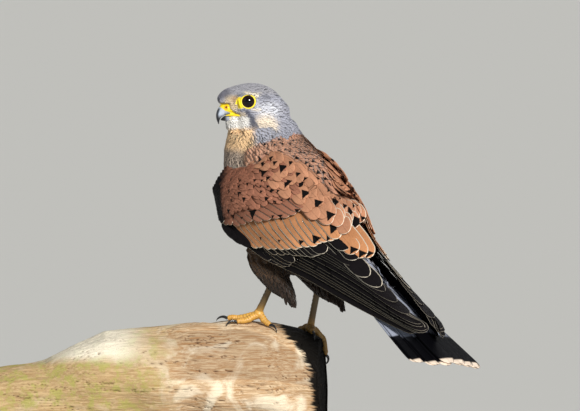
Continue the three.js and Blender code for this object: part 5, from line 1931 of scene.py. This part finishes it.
def break_at(y, z):
    """Where the log ends along its length, by the two slanted faces of the break."""
    end = np.full(y.shape, BRANCH_NEAR)
    for out, through in BRANCH_BREAKS:
        rise = (out[1] * (y - through[1]) + out[2] * (z - through[2])) / out[0]
        end = np.maximum(end, through[0] - rise)
    return end


def fibre(places, seed):
    """Noise drawn out along the log, of about -1 to 1."""
    drawn = places.reshape(-1, 3) * [0.03, 0.55, 0.55] + [seed, 0, 0]
    return np.array([noise.noise(Vector(place)) for place in drawn]).reshape(places.shape[:2])


start = np.full(BRANCH_COLUMNS, -30.0)
for _ in range(6):
    start = blend(start, break_at(*log_section(start)), 0.7)
side_rings = []
for k in np.linspace(0, 1, BRANCH_ROWS):
    at = blend(start, BRANCH_FAR, k)
    side_rings.append(np.stack([at, *log_section(at)], -1))
edge, far = side_rings[0], side_rings[-1]
core, far_core = edge.mean(0), far.mean(0)
broken_end = []
for k in np.linspace(0.02, 1, BREAK_ROWS + 1)[:-1]:
    y, z = core[1] + (edge[:, 1] - core[1]) * k, core[2] + (edge[:, 2] - core[2]) * k
    broken_end.append(np.stack([break_at(y, z), y, z], -1))
cut_end = [far_core + (far - far_core) * k for k in np.linspace(0.96, 0.03, CUT_ROWS)]
rings = np.array([*broken_end, *side_rings, *cut_end])
along = rings[..., 0]
on_side, on_end = np.zeros(along.shape), np.zeros(along.shape)
on_end[:BREAK_ROWS] = 1
on_side[BREAK_ROWS : BREAK_ROWS + BRANCH_ROWS] = 1
around = np.broadcast_to(angle, along.shape)
coarse = fibre(rings * [0.8, 0.35, 0.35], 5.0)
fine = fibre(rings * [1, 1.5, 1.5], 11.0)
outward = np.stack([0 * around, np.cos(around), np.sin(around)], -1)
cracks = smooth(0.0, -0.35, coarse) * smooth(0.0, 0.08, 0.08 - np.abs(fine))
sink = on_side * (0.35 + 0.5 * np.abs(coarse) + 0.35 * fine + 1.3 * cracks)
# a torn strip: the wood steps down below a line that sinks towards the broken end
line = 0.55 + 0.006 * (along + 20) + 0.12 * np.sin(along * 0.06)
ledge = smooth(-0.02, 0.02, line - (around - 0.1)) * smooth(110, 60, along) * (around < 2)
sink = sink + on_side * ledge * 0.8
splinter = on_end * (1.2 + 1.6 * np.abs(fibre(rings * [0, 0.9, 0.5], 3.0)))
rings = rings - outward * sink[..., None]
rings[..., 0] += splinter
rings[..., 2] = np.maximum(rings[..., 2], BRANCH_FLOOR)
x, y, z = np.moveaxis(rings, -1, 0)
c, s = math.cos(BRANCH_BEARING), math.sin(BRANCH_BEARING)
log = closed_rings("log", np.stack([x * c - y * s, x * s + y * c, z], -1))
# painted shadow: the broken end's face, and the log's side before a slanting line along the edge of
# the bird's shadow
break_shadow = np.interp(z, [-60, -37, -21.5, -2, 2], [-23, -20.8, -15.4, 4.6, 6.0]) + fine * 5
break_shadow = np.maximum(on_end, smooth(1.5, -1.5, x - break_shadow))
no_ends = np.zeros((2, 3))
note(log, "along", "FLOAT_VECTOR", np.concatenate([rings.reshape(-1, 3), no_ends]))
note(log, "painted_break_shadow", "FLOAT", np.concatenate([break_shadow.ravel(), no_ends[:, 0]]))
sunk_in = on_side * (0.8 * cracks + 0.35 * ledge)
note(log, "sunk", "FLOAT", np.concatenate([sunk_in.ravel(), no_ends[:, 0]]))

wood, tree, shader = new_material("weathered wood")


def figure(where, scale, detail, **more):
    """A figure of the wood by a noise over places, from coarse grain to fine lichen."""
    values = {0: where, "Scale": scale, "Detail": detail, **more}
    return Reading(tree, put(tree, "ShaderNodeTexNoise", inputs=values).outputs[0])


place = noted(tree, "along", "Vector")
x, _, z = (Reading(tree, s) for s in put(tree, "ShaderNodeSeparateXYZ", inputs={0: place}).outputs)
drawn = put(tree, "ShaderNodeMapping", inputs={0: place, 3: (0.016, 0.3, 0.3)}).outputs[0]
grain = figure(drawn, 3.0, 7.0, Distortion=0.8)
fibres = figure(drawn, 11.0, 5.0, Distortion=0.3)
broad = figure(place, 0.035, 4.0, Distortion=1.2)
lichen = figure(place, 0.12, 8.0, Roughness=0.75)
older = (broad * 60.0 + x).step(105.0, 150.0)
bleached = (broad * 10.0 + z).step(-28.0, -16.0) * x.step(95.0, 130.0)
tone = tinted(tree, grain.step(0.34, 0.6), DRY_TAN, DRY_PALE)
for share, over in (
    (fibres.step(0.56, 0.42) * 0.35, FIBRE_BROWN),
    (broad.step(0.5, 0.66) * 0.75, WASHED),
    (older * 0.75, tinted(tree, grain, OLD_BROWN, OLD_PALE)),
    (older * lichen.step(0.46, 0.6) * 0.75, LICHEN_GREEN),
    (bleached * 0.8, BLEACHED),
    (abs(grain - 0.5).step(0.012, 0.004) * 0.5, CHECK_BROWN),
    (noted(tree, "sunk"), CRACK_BROWN),
    # painted shadow, near black with brown fibres
    (noted(tree, "painted_break_shadow"), tinted(tree, fibres, BREAK_SHADOW_BLACK, BREAK_SHADOW_BROWN)),
):
    tone = tinted(tree, share, tone, over)
tree.links.new(tone, shader.inputs["Base Color"])
finish(shader, Roughness=0.85, Specular_IOR_Level=0.15)
bumped(tree, shader, lichen * 0.4 + grain, 0.6, 0.0008)
log.data.materials.append(wood)
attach(log, "root")
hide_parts("perch_branch")


# ---- Stand ----
# A dark waxed wooden base with rounded corners, turned along the log, and the two blackened steel
# rods that carry the log on it. The rods keep the mesh of the CAD and take only a finish.
BASE_SIZE, BASE_ROUND = (0.22, 0.12, 0.012), 0.0012
WAXED_DARK, WAXED_LIGHT, STEEL = colour(44, 28, 19), colour(92, 60, 40), colour(58, 60, 64)
low, high = (np.array(corner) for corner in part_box("stand_base"))
bpy.ops.mesh.primitive_cube_add(size=1)
base = bpy.context.object
base.name = "base"
base.scale = BASE_SIZE
settle(base)
apply_modifier(base, "BEVEL", width=BASE_ROUND, segments=3, limit_method="ANGLE")
base.rotation_euler = (0, 0, BRANCH_BEARING)
base.location = Vector((low + high) / 2)
settle(base)
waxed, tree, shader = new_material("waxed wood")
where = put(tree, "ShaderNodeTexCoord").outputs["Object"]
values = {0: where, 2: (0, 0, -BRANCH_BEARING), 3: (1.0, 14.0, 14.0)}
turned = put(tree, "ShaderNodeMapping", inputs=values).outputs[0]
values = {0: turned, "Scale": 14.0, "Detail": 8.0, "Distortion": 1.0}
grain = put(tree, "ShaderNodeTexNoise", inputs=values).outputs[0]
tree.links.new(tinted(tree, grain, WAXED_DARK, WAXED_LIGHT), shader.inputs["Base Color"])
finish(shader, Roughness=0.4)
base.data.materials.append(waxed)
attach(base, "root")
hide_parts("stand_base")
steel, tree, shader = new_material("blackened steel")
finish(shader, Base_Color=(*STEEL, 1), Metallic=0.9, Roughness=0.38)
for name in ("stand_rod_front", "stand_rod_rear"):
    rod = frame["nodes"][name]
    rod.data.materials.clear()
    rod.data.materials.append(steel)


# ---- Floor and lights ----
# A wide pale floor under soft studio light: a key from above the camera's right, a weak fill from
# its left and a rim from behind. The lamps are suns, so that the floor looks alike in every view.
FLOOR_WIDTH, FLOOR_PALE = 120, colour(214, 214, 210)
STUDIO_AIR, AIR_STRENGTH = colour(206, 212, 220), 0.24
# each lamp's name, its place right of, above and before the aim, its angle in degrees, its strength
# and its colour
LAMPS = (
    ("key", (0.9, 0.95, 2.6), 12, 4.4, (1.0, 0.97, 0.92)),
    ("fill", (-1.4, 0.7, 1.0), 40, 0.16, (0.85, 0.93, 1.0)),
    ("rim", (0.5, 1.3, -1.2), 25, 0.36, (1.0, 1.0, 1.0)),
)
bpy.ops.mesh.primitive_plane_add(size=FLOOR_WIDTH, location=(0, 0, 0))
floor = bpy.context.object
floor.name = "floor"
pale, tree, shader = new_material("floor")
finish(shader, Base_Color=(*FLOOR_PALE, 1), Roughness=0.9)
floor.data.materials.append(pale)
bpy.context.scene.view_settings.view_transform = "Standard"
studio = bpy.data.worlds.new("studio")
bpy.context.scene.world = studio
studio.use_nodes = True
air = studio.node_tree.nodes["Background"]
air.inputs[0].default_value = (*STUDIO_AIR, 1)
air.inputs[1].default_value = AIR_STRENGTH
for name, (right, up, towards), spread, strength, tone in LAMPS:
    way = rightward * right + upward * up + to_eye * towards
    bpy.ops.object.light_add(type="SUN", location=Vector(aim + way))
    lamp = bpy.context.object
    lamp.name = name
    lamp.data.angle = math.radians(spread)
    lamp.data.energy = strength
    lamp.data.color = tone
    lamp.rotation_mode = "QUATERNION"
    lamp.rotation_quaternion = Vector(-way).to_track_quat("-Z", "Y")
